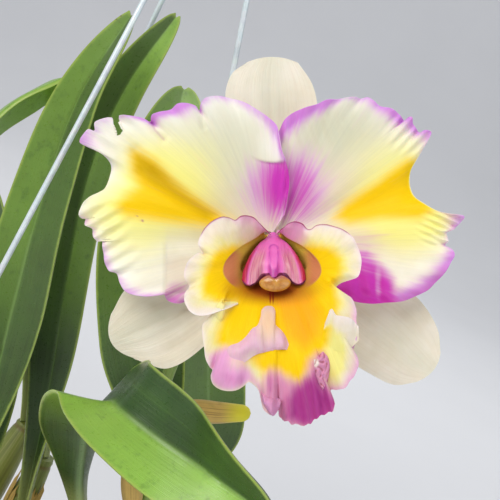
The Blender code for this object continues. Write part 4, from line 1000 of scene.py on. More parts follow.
def lip_tints(x, y):
    """The lip's colours by place, the same for its body and for the folds on it."""
    return {
        "gold": region(x, y, LIP_GOLD, 3.8),
        "lemon": np.clip(region(x, y, LIP_GOLD, 11) + 0.6 * spot(x, y, 20.5, -37.5, 4.5, 8, 0.7), 0, 1),
        "amber": region(x, y, LIP_AMBER, 5), "mauve": region(x, y, LIP_MAUVE, 4.4),
        "rose": 0.86 * region(x, y, LIP_MAGENTA, 4) + 0.42 * spot(x, y, -1.3, -44.5, 1.3, 4.5, 0.8)
        + 0.3 * spot(x, y, -12.5, -43.7, 3, 2.5, 0.9) + 0.25 * spot(x, y, -16.5, -42.2, 2, 1.8, 0.9),
        "lilac": 0.95 * region(x, y, LIP_LEFT_LOBE, 2.6),
    }


# Along the margin: an angle in degrees, how far in the lilac reaches, how strong it is
LIP_LILAC = [
    (100, 6, 0.7), (118, 6, 0.7), (128, 2, 0.4), (150, 1.2, 0.25), (200, 1.2, 0.25), (225, 1, 0.2),
    (236, 1.5, 0.3), (243, 1.5, 0.3), (290, 1, 0.3), (305, 2.6, 0.7), (322, 4.6, 0.8), (335, 3, 0.6),
    (350, 1.2, 0.3), (380, 1.2, 0.3), (412, 1.6, 0.35), (419, 5, 0.9), (425, 7, 1), (440, 7, 1),
]


def make_lip(finish):
    grid, turn, inward, share = lip_surface()
    x, y = grid[..., 0], grid[..., 1]
    out = smooth(share * 1.2)
    z = 0.35 * np.sin(turn * 38) * smooth(share) ** 5
    z += 0.45 * np.sin(turn * 15 + 0.6) * hill(np.clip(share, 0, 1)) * out
    z += 0.5 * spot(x, y, 11, -50, 14, 11, 0.5) * np.sin(turn * 75) * out
    z += 1.4 * spot(x, y, -14.5, -41, 7, 6, 0.6) * out
    z -= 1.2 * spot(x, y, -2, -38, 7, 5, 0.7) * out
    slit = line_distance(x, y, [(3.4, -59), (2.6, -52.5)])
    z -= 1.6 * bump(slit / 0.9)
    grid[..., 2] += z
    marks = lip_tints(x, y)
    inside = smooth(-share / 0.035) * smooth((y + 14) / 3)
    lilac = rim_tint(turn, inward, LIP_LILAC)
    for cx, cy in ((-7.6, 8), (7, 6.4)):
        lilac = np.maximum(lilac, (0.25 if cx < 0 else 0.85) * spot(x, y, cx, cy, 4.8, 5.2, 0.8))
        marks["gold"] = marks["gold"] * (1 - 0.9 * spot(x, y, cx, cy, 5.6, 6, 0.6))
    # Painted shadow: dark red-brown on the throat's floor under the column and its cap
    near = spot(x, y, 0, -13.2, 13, 4.6, 0.65)
    threads = bump((x + 0.7) / 0.22) + bump((x - 0.3) / 0.22)
    threads *= smooth((y + 19.5) / 2) * smooth((-11 - y) / 1.5)
    cheek = np.clip((np.abs(x - 0.3) - 9) / 8, 0, 1) - 0.5 * smooth((y + 2) / 4)
    top_line = smooth((y - 4) / 2.5) * bump(inward / 0.35)
    pale_rim = np.exp(-inward / 1.4) * smooth((y + 46) / 4)
    lobe_rim = np.maximum(np.exp(-inward), 0.6 * spot(x, y, -11.3, -37.6, 3.4, 2.8, 0.9))
    lobe_rim = lobe_rim * region(x, y, LIP_LEFT_LOBE, 3)
    marks.update({
        "lilac": np.maximum(lilac, marks["lilac"] * (1 - 0.8 * lobe_rim)),
        "rose": marks["rose"] * smooth(inward / 0.5 + 0.5), "white": 0.85 * pale_rim,
        "olive": inside, "rust": inside * smooth(cheek * 1.5),
        # brown: painted shadow under the cap, painted shade deep in the throat, and two real crimson
        # threads
        "brown": np.clip(0.95 * near + 0.12 * smooth((-share - 0.8) / 0.2) + 0.6 * threads, 0, 1),
        "line": np.clip(0.9 * top_line + 0.3 * bump((share + 0.015) / 0.012) * inside, 0, 1),
        "peach": 0.35 * spot(x, y, -12, -35, 6, 3, 0.8),
    })
    lip = sheet("lip", grid, BLOOM, LIP_THICK, marks, (0, 0, 1), 0.4 + 0.6 * smooth(inward / 2.5))
    seat(lip, finish, "lip", "lip")
    ground = grid[::4, LIP_ROWS_BACK + LIP_ROWS_IN + 2::4].reshape(-1, 3)
    for name in LIP_FOLDS:
        make_lip_fold(finish, name, ground)


def height_on(ground, x, y):
    """How far forward a surface is at each place, from its six nearest known points."""
    gap = (x.reshape(-1, 1) - ground[:, 0]) ** 2 + (y.reshape(-1, 1) - ground[:, 1]) ** 2
    near = np.argpartition(gap, 6, axis=1)[:, :6]
    weight = 1 / (np.take_along_axis(gap, near, axis=1) + 0.3)
    return (np.sum(ground[near, 2] * weight, axis=1) / np.sum(weight, axis=1)).reshape(x.shape)


def make_lip_fold(finish, name, ground):
    """One of the frills that stand on the lip's face, laid on its surface and raised from it."""
    columns, rows = FOLD_GRID
    u = span(columns)[:, None]
    v = span(rows)[None]
    ends = curve(LIP_FOLDS[name], u[:, 0])[:, None]
    flat = ends[..., :2] * (1 - v[..., None]) + ends[..., 2:] * v[..., None]
    x, y = flat[..., 0], flat[..., 1]
    welt = hill(v) ** 0.5 * (smooth(u * 9) * smooth((1 - u) * 9))
    ledge = v ** 1.6 * (0.35 + 0.65 * smooth(u * 5) * smooth((1 - u) * 5))
    rim = np.minimum(np.minimum(v, 1 - v), 4 * np.minimum(u, 1 - u))
    marks = lip_tints(x, y)
    if name == "tongue":
        gentle = hill(v ** (1 + 0.9 * smooth(1 - u * 2.6))) ** (0.5 + 0.9 * smooth(1 - u * 2.6))
        lift = 2.2 * gentle * smooth(u * 9) * smooth((1 - u) * 9) + 0.3 * welt * np.sin(u * 21 + v * 3)
        neck = spot(x, y, -1.6, -24.5, 3, 5.4, 0.9)
        low = smooth(1 - v * 2.5) * smooth(1 - u * 2.4)
        marks = {"peach": 0.9 * neck, "lilac": mix(0.62 * (1 - 0.85 * neck), marks["lilac"], low),
                 "white": 0.7 * np.exp(-rim / 0.08) * (1 - low)}
    elif name == "curl":
        lift = 1.7 * welt + 0.3 * np.sin(u * 17)
        marks = {"lilac": 0.95, "mauve": 0.42 + 0.3 * smooth((0.5 - v) * 3)}
    elif name == "crumple":
        wrinkles = 0.6 * np.sin(u * 27 + 2.5 * np.sin(v * 8))
        wrinkles = wrinkles + 0.5 * np.sin(v * 17 + 3 * np.sin(u * 11))
        lift = 1.6 * welt + 0.3 * wrinkles * welt
        # A painted highlight on the crumple, and painted shade down in the troughs of its wrinkles
        painted_glint = spot(x, y, 14.4, -38.2, 1.1, 1.3, 0.8)
        marks = {"mauve": 0.95 * (1 - painted_glint), "rose": 0.3 * smooth(wrinkles) * (1 - painted_glint), "white": painted_glint,
                 "brown": 0.55 * smooth(-1.6 * wrinkles - 0.4)}
    else:
        lift = (1.5 if name == "left_rim" else 2) * ledge + 0.15 * np.sin(u * 19) * v
        inner = 0.05 if name == "left_rim" else 0.45
        marks["white"] = np.exp(-(1 - v) / 0.3)
        marks["gold"] = marks["gold"] * (1 - smooth((v - inner) / 0.3))
        marks["lemon"] = marks["lemon"] * (1 - 0.6 * smooth((v - 0.4) / 0.4))
        marks["amber"] = 0
    under = calm(calm(height_on(ground, x, y), 30).T, 6).T
    stand = 0.5 if name == "left_rim" else 0.15
    if name == "tongue":
        stand = stand - 0.9 * smooth(1 - u * 7)
    grid = np.stack([x, y, under + stand + lift], axis=2)
    fold = sheet(f"lip_{name}", grid, BLOOM, LIP_THICK, marks, (0, 0, 1), 0.5 + 0.5 * smooth(rim * 6))
    seat(fold, finish, "lip", "lip")


# Column and anther cap

COLUMN_STATIONS = [
    # height, forward, half width, crown, how far the section tips forward (degrees)
    (2.8, -6.8, 1.7, 1.7, 0),
    (2.8, -1, 1.7, 1.7, 0),
    (3.6, 3.5, 1.7, 1.8, 0),
    (4.4, 7.5, 2, 2.2, 15),
    (3.6, 10.5, 2.9, 2, 35),
    (1.6, 14, 5.4, 2, 45),
    (-2.8, 18, 8.6, 2.2, 48),
    (-7.2, 21.4, 10.6, 2.2, 50),
    (-11.2, 23.6, 11.2, 2, 52),
]
COLUMN_MIDDLE = 0.6
HOOD_WALL = 1.7
# Rings, then points over and under each
COLUMN_GRID = (96, 64, 32)


def make_column(finish):
    """A round foot that widens forward into a hood with rolled edges and two lobes at its end."""
    rings, over, under = COLUMN_GRID
    t = span(rings)[:, None]
    y, z, half, crown, lean = (c[:, None] for c in curve(COLUMN_STATIONS, t[:, 0]).T)
    lean = np.radians(lean)
    a = np.linspace(0, math.pi, over)
    b = math.pi + np.linspace(0, math.pi, under + 2)[1:-1]
    c = np.concatenate([np.cos(a), np.cos(b)])[None]
    s = np.concatenate([np.sin(a), np.sin(b)])[None]
    top = np.concatenate([np.ones(over), np.zeros(under)])[None]
    hollow = smooth((z - 6) / 8)
    inside = half - 0.5 * HOOD_WALL
    x = np.where(top > 0, half * c, mix(half * c, inside * c, hollow))
    n = np.where(top > 0, crown * s, mix(crown * s, (HOOD_WALL - crown) * s - 0.2, hollow))
    out = smooth((t - 0.5) / 0.3)
    side = np.abs(c)
    n = n + top * out * (0.9 * bump((side - 0.95) / 0.09) - 0.5 * bump((side - 0.7) / 0.2))
    n = n + top * out * 0.35 * bump((np.abs(x) - 1.5) / 0.45) * smooth((t - 0.62) / 0.1)
    n = n + top * out * 0.08 * np.cos(x * 5.2) * smooth((side - 0.2) / 0.2)
    end = smooth((t - 0.72) / 0.28)
    reach = np.interp(np.abs(x), [0, 0.8, 1.7, 3.9, 4.8, 5.6, 6.6, 8.3, 10, 11.3],
                      [-0.6, -1.1, -3.2, -3.2, -2.4, -0.4, 1.3, 2.2, 1.5, -0.8])
    shift = (reach - 0.5 * smooth(x / 6)) * end
    loops = np.stack([COLUMN_MIDDLE + x, y + n * np.cos(lean) - shift * np.cos(lean),
                      z + n * np.sin(lean) + shift * np.sin(lean)], axis=2)
    front = top * out
    ridge = bump((np.abs(x) - 1.45) / 0.28) * smooth((t - 0.70) / 0.04)
    arch = bump((np.hypot(x, (t - 0.70) * 40) - 1.45) / 0.3) * smooth((0.72 - t) / 0.02)
    marks = {
        "edge": front * smooth((side - 0.8) / 0.1),
        "panel": front * smooth((side - 0.24) / 0.16) * smooth((0.84 - side) / 0.08)
        * smooth((t - 0.6) / 0.2),
        "purple": top * np.clip(ridge + arch + 1.2 * bump(x / 1.5) * smooth((t - 0.88) / 0.06), 0, 1),
        # dark: the stigma's own maroon, deepened as painted shade inside the hood's hollow
        "dark": (1 - top) * hollow,
    }
    return seat(tube("column", loops, BLOOM, marks, 60), finish, "column", "column")


def column_finish():
    """Magenta along the top, pale streaked panels, crimson edges."""
    p = Paint("column", 0.36, Specular_IOR_Level=0.5, Subsurface_Weight=0.15, Subsurface_Scale=0.0015)
    streaks = p.streaks(70, 3, 4, 0.6, 0.3)
    p.ground(p.cloud(420), (222, 92, 180), (236, 126, 198))
    pale = p.blend(p.step(streaks, 0.4, 0.62), colour(210, 150, 152), colour(190, 98, 126))
    p.base = p.blend(p.times("panel", 0.85), p.base, pale)
    p.coat("edge", (182, 34, 74))
    p.coat("purple", (176, 40, 150), 0.8)
    # Dark maroon inside the hood: partly the stigma's own colour, partly painted shade in the hollow
    p.coat("dark", (96, 10, 52))
    sparkle = p.cloud(2600, 2, 0.7)
    p.relief(streaks, 0.12, 0.6)
    p.relief(sparkle, 0.04, 0.5)
    return p.finish(p.step(sparkle, 0.3, 0.7, 0.28, 0.42))


ANTHER_MIDDLE = (0.9, -11.3, 26.3)
ANTHER_SIZE = (5.5, 3.1, 2)


def make_anther_cap(finish):
    """A glossy kidney with a dent at its top and a seam down its middle."""
    bpy.ops.object.select_all(action="DESELECT")
    bpy.ops.mesh.primitive_uv_sphere_add(segments=72, ring_count=48, radius=1)
    cap = bpy.context.object
    cap.name = cap.data.name = "anther_cap_shape"
    flat = np.zeros(len(cap.data.vertices) * 3)
    cap.data.vertices.foreach_get("co", flat)
    ball = flat.reshape(-1, 3)
    x, y, z = ball[:, 2] * ANTHER_SIZE[0], ball[:, 1] * ANTHER_SIZE[1], ball[:, 0] * ANTHER_SIZE[2]
    dent = 1.6 * np.maximum(0, ball[:, 1]) ** 2 * bump(x / 1.5)
    seam = 0.22 * bump(x / 0.3) * np.maximum(0, ball[:, 0])
    side = 0.8 * np.maximum(0, ball[:, 1]) * np.abs(ball[:, 2]) ** 2
    kidney = np.stack([x, y - dent - side, z - seam], axis=1) + ANTHER_MIDDLE
    cap.data.vertices.foreach_set("co", world(kidney, BLOOM).ravel())
    set_marks(cap.data, {"brim": smooth((ball[:, 1] - 0.25) / 0.5)})
    bpy.ops.object.mode_set(mode="EDIT")
    bpy.ops.mesh.select_all(action="SELECT")
    bpy.ops.mesh.normals_make_consistent(inside=False)
    bpy.ops.object.mode_set(mode="OBJECT")
    bpy.ops.object.shade_smooth()
    return seat(cap, finish, "anther", "anther_cap")


def anther_finish():
    """Waxy cream and tan, with a purple line along its top."""
    p = Paint("anther", 0.2, Specular_IOR_Level=0.55, Subsurface_Weight=0.2, Subsurface_Scale=0.0015,
              Coat_Weight=0.4, Coat_Roughness=0.15)
    cloud = p.cloud(500)
    p.ground(p.step(cloud, 0.35, 0.7), (204, 148, 66), (178, 114, 42))
    p.coat("brim", (170, 80, 104), 0.6)
    p.relief(p.cloud(3000, 2), 0.04, 0.4)
    return p.finish(p.step(cloud, 0.3, 0.7, 0.16, 0.28))


# Leaves: name, centre line, half width, side vectors from foot to tip, channel depth, the share of the
# length where it starts to narrow, age, and how much painted light falls on each half of the leaf

LEAVES = [
    ("leaf_front",
     [(42, -38.5, -345.5), (36, -46.5, -328), (32.5, -55, -310.5), (30.5, -64.5, -295), (32.5, -75, -282),
      (38, -87.5, -272.5), (43, -100.5, -269), (56, -108.5, -269.5), (70.5, -115.5, -269.5),
      (83, -123.5, -269), (94, -128.5, -269.5), (101.5, -131.5, -271), (107, -133.5, -271.5)],
     18.5, [(-0.72, -0.36, -0.54), (-0.64, -0.32, -0.64), (-0.79, -0.14, -0.65), (-0.34, -0.33, -0.61),
            (-0.05, 0.17, -0.66)], 10, 0.66, 0.15, (0, 1)),
    ("leaf_middle",
     [(69.5, -22.8, -342.5), (56, -18, -307), (37, -15, -274), (24, -14, -246), (17.5, -12, -218),
      (15.5, -4, -191), (11.5, 5, -169.5)],
     17.5, [(0.95, 0.20, 0.20), (0.92, 0.09, 0.38)], 4, 0.64, 0.35, (0.3, 0.6)),
    ("leaf_left",
     [(-8.4, -20.2, -372.5), (-14, -16, -325), (-20.5, -11, -280), (-25, -10, -235), (-26, -8, -190),
      (-18, -4, -149)],
     15.5, [(0.98, 0.05, 0.1), (0.98, -0.18, 0.05)], 4.5, 0.06, 0.7, (0.5, 0.1)),
    ("leaf_behind",
     [(15, 6, -381.5), (4, 15, -323), (-8, 19, -268), (-15, 18, -222), (-13, 15, -182), (-3.5, 17, -144)],
     12.5, [(0.95, -0.3, 0), (0.93, -0.2, -0.3)], 4, 0.5, 0.45, (0.1, 0.85)),
    ("leaf_far_left",
     [(-4, -11.8, -372.5), (-18, 1, -326), (-36, 12, -292), (-48, 21, -265), (-66, 24, -242),
      (-87, 24, -226)],
     14, [(0.8, 0.5, 0.2), (0.35, -0.5, 0.8)], 4, 0.66, 0.5, (0.1, 0.05)),
    ("leaf_arching",
     [(-5, 58, -359.5), (-21, 70, -303), (-33, 76, -246), (-40, 76, -210), (-49, 71, -199),
      (-59, 63, -208), (-69, 55, -224), (-76, 46, -249), (-79, 39, -272)],
     15, [(0.9, -0.3, 0), (0.1, -0.7, 0.7)], 4, 0.66, 0.6, (1, 1)),
    ("leaf_young",
     [(12, 28, -358.5), (5, 29, -330), (-3, 30, -300), (-13, 33, -271)],
     7, [(0.75, -0.6, 0.1), (0.75, -0.6, 0.2)], 3, 0.66, 0, (0.8, 0.8)),
    ("leaf_right",
     [(62, 29, -364.5), (76, 27, -322), (68, 27, -290), (52, 31, -262), (40, 37, -240)],
     17, [(0.9, 0.4, 0), (0.9, 0.4, 0.2)], 4.5, 0.66, 0.3, (0.3, 0.3)),
]
LEAF_THICK = 1.7
LEAF_KEEL = 0.5
LEAF_GRID = (33, 120)


def make_leaf(finish, name, line, half, sides, channel, taper, age, light):
    """A strap leaf with a channel down its middle, a folded foot and a rounded, notched tip."""
    columns, rows = LEAF_GRID
    u = np.linspace(-1, 1, columns)[:, None]
    v = 1 - (1 - span(rows)) ** 1.3
    notch = 0.009 * (1 - np.abs(u)) ** 1.5 + 0.009 * np.abs(u) ** 6
    s = v * (1 - notch * smooth((v - 0.8) / 0.2))
    spine = even_curve(line, 2 * LINE_STEPS)
    p, ahead = along(spine, s), along(np.gradient(spine, axis=0), s)
    ahead /= np.linalg.norm(ahead, axis=2, keepdims=True)
    side = curve(sides, smooth(s))
    side = side - ahead * np.sum(side * ahead, axis=2, keepdims=True)
    side /= np.linalg.norm(side, axis=2, keepdims=True)
    face = np.cross(side, ahead)
    width = half * mix(0.26, 1, smooth(s / 0.42))
    width = width * np.sqrt(np.maximum(0.02, 1 - np.maximum(0, (s - taper) / (1 - taper)) ** 2.4))
    fold = mix(1.15, channel / half, smooth(s / 0.35)) * width
    lay = np.sqrt(np.maximum(0.1, 1 - (fold / np.maximum(width, 0.1)) ** 2 * 0.5))
    rise = np.sqrt(u * u + 0.02) - 0.14
    seed = name_seed(name)
    sway = smooth(s / 0.3) * smooth((1 - s) * 6)
    lift = fold * rise - 0.45 * bump(u / 0.045) * sway
    lift = lift + 0.5 * np.sin(s * 15 + seed) * u * u * sway
    lift = lift + 0.16 * np.sin(s * 37 + seed * 2 + 2 * u) * sway
    across = u * width * lay * (1 + 0.012 * np.sin(s * 24 + seed + 3 * np.sign(u)))
    grid = p + side * across[..., None] + face * lift[..., None]
    grid[:, 0, 2] = line[0][2]
    edge = (1 - np.abs(u)) * width
    edge = np.minimum(edge, (1 - s) * 90)
    marks = {
        "edge": edge, "age": age, "rib": bump(u / 0.05),
        # light: painted light, one half of the leaf brighter than the other as light falls on the fold
        "light": mix(*light, smooth((u + 0.1) / 0.2)) * smooth((s - 0.3) / 0.25),
        "tip": smooth((s - 0.8) / 0.2), "foot": smooth(1 - s / 0.16),
    }
    thick = LEAF_THICK + LEAF_KEEL
    thin = (0.35 + 0.65 * smooth(edge / 1.6)) * (1 - LEAF_KEEL / thick * np.abs(u))
    leaf = sheet(name, grid, LEVEL, thick, marks, None, thin)
    return seat(leaf, finish, "leaf", name)


def leaf_finish():
    """Waxy green with fine lines along it, a pale rim, and the freckles of older leaves."""
    p = Paint("leaf", 0.36, Specular_IOR_Level=0.5, Subsurface_Weight=0.05, Subsurface_Scale=0.002,
              Coat_Weight=0.12, Coat_Roughness=0.3)
    lines = p.streaks(110, 1.2, 3, 0.6, 0.1)
    cloud = p.cloud(38, 4, 0.6)
    mottle = p.cloud(260, 3, 0.6)
    p.ground(p.step(cloud, 0.3, 0.7), (28, 56, 16), (44, 78, 24))
    # Painted light: a brighter yellow-green on the lit half of each leaf
    p.coat(p.times("light", p.step(cloud, 0.1, 0.8, 0.7, 1)), (150, 196, 74))
    p.coat(p.step(p.streaks(9, 3, 3, 0.5, 0.2), 0.45, 0.75), (98, 138, 50), 0.16)
    p.coat("age", (116, 134, 50), 0.2)
    p.coat(p.step(lines, 0.4, 0.75, 0, 0.14), (112, 150, 66))
    p.coat(p.step(mottle, 0.52, 0.8, 0, 0.4), (38, 74, 24))
    p.coat("rib", (134, 168, 88), 0.45)
    p.coat(p.step(p.sum("MULTIPLY_ADD", mottle, 0.8, "edge"), 0.4, 1.7, 0.75, 0), (164, 186, 84))
    p.coat("foot", (168, 176, 108), 0.7)
    spots = p.times(p.step(p.cells(420), 0.2, 0.12), p.step(p.cloud(60, 3, 0.6), 0.5, 0.62))
    spots = p.times(spots, p.times("age", p.sum("MULTIPLY_ADD", "tip", 0.8, 0.2)))
    p.coat(spots, (92, 58, 30))
    dust = p.cloud(900, 3, 0.65)
    p.relief(lines, 0.14, 0.8)
    p.relief(dust, 0.05, 0.5)
    return p.finish(p.sum("ADD", p.step(dust, 0.3, 0.7, 0.26, 0.42), p.times(spots, 0.2)))


# Stalk and sheath

STALK_LINE = [(66.8, -32.2, -341.8), (60, -36, -314), (53, -38, -284),
              (53, -39, -253), (60, -40, -229)]
STALK_TOP = -7.5
STALK_JOINTS = (0.3, 0.66)
STALK_GRID = (200, 36)
OVARY_LENGTH = 17
SHEATH_LINE = [(63.5, -36.9, -341.2), (54, -42.5, -314), (55, -45, -294),
               (65, -41, -283.5), (77, -37, -280), (89, -33, -276.5)]
SHEATH_GRID = (120, 40)


def make_stalk(finish):
    """The stalk, with a ringed joint part of the way and a ribbed ovary behind the bloom."""
    rings, sides = STALK_GRID
    end = tuple(BLOOM @ Vector((0.4, 0.8, STALK_TOP)))
    back = tuple(BLOOM @ Vector((0.2, -0.4, STALK_TOP - OVARY_LENGTH)))
    t = span(rings)[:, None]
    radius = 2.4 + 2.4 * smooth((t - 0.78) / 0.17)
    for joint in STALK_JOINTS:
        radius += 0.5 * bump((t - joint) / 0.008) - 0.2 * bump((t - joint - 0.014) / 0.006)
    rib = 1 + (0.02 + 0.06 * smooth((t - 0.8) / 0.1)) * np.cos(6 * turns(sides))
    loops = rings_round(even_curve(STALK_LINE + [back, end], rings), radius, sides, rib)
    marks = {"flush": smooth((t - 0.7) / 0.3),
             "joint": sum(bump((t - joint) / 0.012) for joint in STALK_JOINTS)}
    return seat(tube("flower_stalk", loops, LEVEL, marks), finish, "stalk", "flower_stalk")


def stalk_finish():
    p = Paint("stalk", 0.42, Specular_IOR_Level=0.45, Subsurface_Weight=0.08, Subsurface_Scale=0.002)
    lines = p.streaks(30, 3, 3, 0.6, 0.2)
    p.ground(p.cloud(160, 4), (104, 136, 58), (134, 158, 76))
    p.coat(p.step(lines, 0.45, 0.75, 0, 0.5), (160, 176, 100))
    p.coat("flush", (166, 150, 120), 0.35)
    p.coat("joint", (150, 120, 80), 0.8)
    p.relief(lines, 0.12, 0.7)
    return p.finish(p.step(p.cloud(1500), 0.3, 0.7, 0.34, 0.5))


def make_sheath(finish):
    """The flattened sheath that the stalk came out of, with a round green end."""
    rings, sides = SHEATH_GRID
    t, turn = span(rings)[:, None], turns(sides)
    radius = 4.6 - 1.2 * smooth((t - 0.8) / 0.2) - 1.8 * smooth(1 - t * 4)
    radius *= np.sqrt(np.maximum(0, 1 - np.maximum(0, (t - 0.955) / 0.045) ** 2))
    rib = 1 + 0.02 * np.cos(9 * turn) * smooth((1 - t) * 8)
    rib = rib - 0.05 * bump((turn - 1.2) / 0.12) * smooth((0.96 - t) * 20)
    loops = rings_round(even_curve(SHEATH_LINE, rings), np.maximum(radius, 0.02), sides, rib, 0.85)
    sheath = tube("flower_sheath", loops, LEVEL, {"fresh": smooth((t - 0.84) / 0.12)})
    return seat(sheath, finish, "husk", "flower_sheath")


def husk_finish():
    """Papery dry sheaths: straw and olive with dark lines along them; green where still fresh."""
    p = Paint("husk", 0.7, Specular_IOR_Level=0.3, Sheen_Weight=0.15, Sheen_Roughness=0.5)
    lines = p.streaks(60, 1.6, 4, 0.65, 0.4)
    cloud = p.cloud(120, 4, 0.6)
    p.ground(cloud, (176, 146, 70), (206, 172, 96))
    p.coat(p.step(lines, 0.48, 0.72, 0, 0.7), (104, 80, 46))
    p.coat(p.step(cloud, 0.5, 0.75, 0, 0.5), (126, 122, 56))
    p.coat("fresh", (212, 204, 48))
    p.relief(lines, 0.2, 0.8)
    return p.finish(p.step(cloud, 0.3, 0.7, 0.55, 0.8))


# Bulbs: name, foot on the rhizome, top, greatest radius, how high its dry husk reaches

BULBS = [
    ("bulb_front", (22, -34), (42, -38.5, -346), 8.8, 0.55),
    ("bulb_flowering", (45, -13), (67.5, -28, -343), 9.6, 0.42),
    ("bulb_left", (-14, -14), (-6, -16, -373), 9.4, 0.6),
    ("bulb_middle", (4, 9), (15, 6, -382), 8.6, 0.5),
    ("bulb_young", (6, 31), (12, 28, -359), 7.4, 0.75),
    ("bulb_rear", (-16, 47), (-5, 58, -360), 9, 0.35),
    ("bulb_right", (38, 26), (62, 29, -365), 9.2, 0.5),
    ("bulb_old", (-44, -8), (-53, -16, -392), 8.8, 0.3),
]
BULB_FOOT = -435.2
BULB_FURROWS = 7
BULB_GRID = (90, 56)
HUSK_GRID = (84, 24)
HUSK_THICK = 0.3


def bulb_line(foot, top, rings):
    start, end = np.array([*foot, BULB_FOOT]), np.array(top)
    middle = mix(start, end, 0.45) + (start - end) * np.array([0.08, 0.08, 0])
    return curve([start, middle, end], span(rings))


def bulb_radius(t, radius):
    return mix(4.4, radius, hill(np.minimum(1, t * 0.9 + 0.08)) ** 0.8)


def make_bulb(finish, name, foot, top, radius, husk_top):
    """A furrowed spindle that stands on the rhizome and carries the leaf."""
    rings, sides = BULB_GRID
    t, turn = span(rings)[:, None], turns(sides)
    seed = name_seed(name)
    size = bulb_radius(t, radius)
    joints = (husk_top * 0.55, husk_top, 0.96)
    for joint in joints:
        size = size - 0.35 * bump((t - joint) / 0.008) + 0.25 * bump((t - joint - 0.016) / 0.008)
    furrow = np.abs(np.sin(BULB_FURROWS * turn / 2 + 0.5 * np.sin(seed + t * 4)))
    rib = 0.95 + 0.07 * furrow ** 0.7 * hill(t)
    rib = rib + 0.006 * np.sin(turn * 23 + 9 * t + seed)
    loops = rings_round(bulb_line(foot, top, rings), size, sides, rib)
    loops[0, :, 2] = BULB_FOOT
    loops[-1, :, 2] = top[2]
    marks = {
        "furrow": bump(furrow / 0.25), "joint": sum(bump((t - joint) / 0.01) for joint in joints),
        "age": 0.9 if name == "bulb_old" else 0.25 + 0.5 * (seed % 7) / 7,
    }
    return seat(tube(name, loops, LEVEL, marks), finish, "bulb", name)


def make_husk(finish, name, foot, top, radius, husk_top):
    """The dry sheath round the lower part of a bulb, torn along its top and split down one side."""
    columns, rows = HUSK_GRID
    seed = name_seed(name)
    turn = np.linspace(0.25, 2 * math.pi + 0.15, columns)[:, None] + seed
    torn = 0.12 * np.sin(turn * 3 + seed) + 0.05 * np.sin(turn * 11 + seed * 2) + 0.03 * np.sin(turn * 29)
    v = np.linspace(0.04, 1, rows)[None] * husk_top * (1 + torn)
    p = along(bulb_line(foot, top, LINE_STEPS), v)
    flare = smooth((v / husk_top - 0.7) / 0.4)
    size = bulb_radius(v, radius) * 1.03 + 0.45 + 0.9 * flare * (1 + np.sin(turn * 5 + seed)) / 2
    size = size + 0.18 * np.sin(turn * 24 + 6 * v) + 0.02 * (turn - seed)
    lean = np.array(top) - (*foot, BULB_FOOT)
    lean /= np.linalg.norm(lean)
    side = np.cross([0, 1, 0], lean)
    side /= np.linalg.norm(side)
    other = np.cross(lean, side)
    grid = p + size[..., None] * (np.cos(turn)[..., None] * side + np.sin(turn)[..., None] * other)
    husk = sheet("husk" + name[4:], grid, LEVEL, HUSK_THICK, {"fresh": 0})
    return seat(husk, finish, "husk", name)


def bulb_finish():
    """Green bulbs, yellower and browner with age, with pale skin over their ribs."""
    p = Paint("bulb", 0.42, Specular_IOR_Level=0.45)
    lines = p.streaks(60, 1.5, 4, 0.6, 0.2)
    p.ground(p.cloud(70, 4, 0.6), (92, 118, 48), (132, 148, 68))
    p.coat("age", (146, 136, 70), 0.6)
    p.coat(p.step(lines, 0.5, 0.75, 0, 0.5), (172, 164, 110))
    p.coat("furrow", (84, 84, 36), 0.5)
    p.coat("joint", (112, 88, 50), 0.8)
    fine = p.cloud(900, 3, 0.6)
    p.relief(lines, 0.15, 0.7)
    p.relief(fine, 0.06, 0.5)
    return p.finish(p.step(fine, 0.3, 0.7, 0.34, 0.52))


# Rhizome and roots, which lie on the medium

MEDIUM_Z = -446
GAP = 0.3
RHIZOME_RADIUS = 5
RHIZOME_GRID = (140, 28)
RHIZOMES = [
    ("rhizome_front", [(-52, -6), (-44, -8), (-14, -14), (6, -25), (22, -34), (36, -25), (45, -13),
                       (50, -4)]),
    ("rhizome_middle", [(-4.5, -6.5), (4, 9), (7, 20), (6, 31), (-4, 41), (-16, 47), (-25, 50)]),
    ("rhizome_right", [(16.6, 30), (27, 29), (38, 26), (48, 21)]),
]
ROOT_RADIUS = 2.2
ROOT_GRID = (140, 24)
ROOTS = [
    ("root_front", [(27, -40.5), (36, -46), (44, -42), (54, -30), (60, -14)]),
    ("root_left", [(-48, -15.4), (-53, -24), (-46, -36), (-34, -44), (-20, -50)]),
    ("root_rear", [(-30.5, 46), (-38, 38), (-50, 30), (-56, 14), (-58, 4)]),
    ("root_right", [(52, 14), (58, 6), (60, -2)]),
]
ROOT_OVER_RIM = [(-49.6, 1.6, -440), (-57, 4, -435.6), (-65, 6, -423),
                 (-70.5, 9, -417.3), (-76, 12, -417.5), (-79.5, 14.5, -424),
                 (-79.5, 17, -440), (-77.5, 19, -458), (-77, 20, -476)]


def laid(points, radius):
    """A line on the medium, raised by the radius of what lies there."""
    return [(x, y, MEDIUM_Z + GAP + radius) for x, y in points]


def make_rhizome(finish, name, line):
    """A creeping stem, ringed by the scars of its scales."""
    rings, sides = RHIZOME_GRID
    path = even_curve(laid(line, RHIZOME_RADIUS), rings)
    t = span(rings)[:, None]
    length = np.sum(np.linalg.norm(np.diff(path, axis=0), axis=1))
    saw = (t * length / 7) % 1
    size = RHIZOME_RADIUS * mix(0.72, 1, hill(t) ** 0.2) * (0.93 + 0.07 * saw ** 2)
    loops = rings_round(path, size, sides, 1 - 0.02 * np.abs(np.sin(6 * turns(sides))))
    marks = {"furrow": 0, "age": 0.8, "joint": bump((1 - saw) / 0.14)}
    return seat(tube(name, loops, LEVEL, marks, 70), finish, "bulb", name)


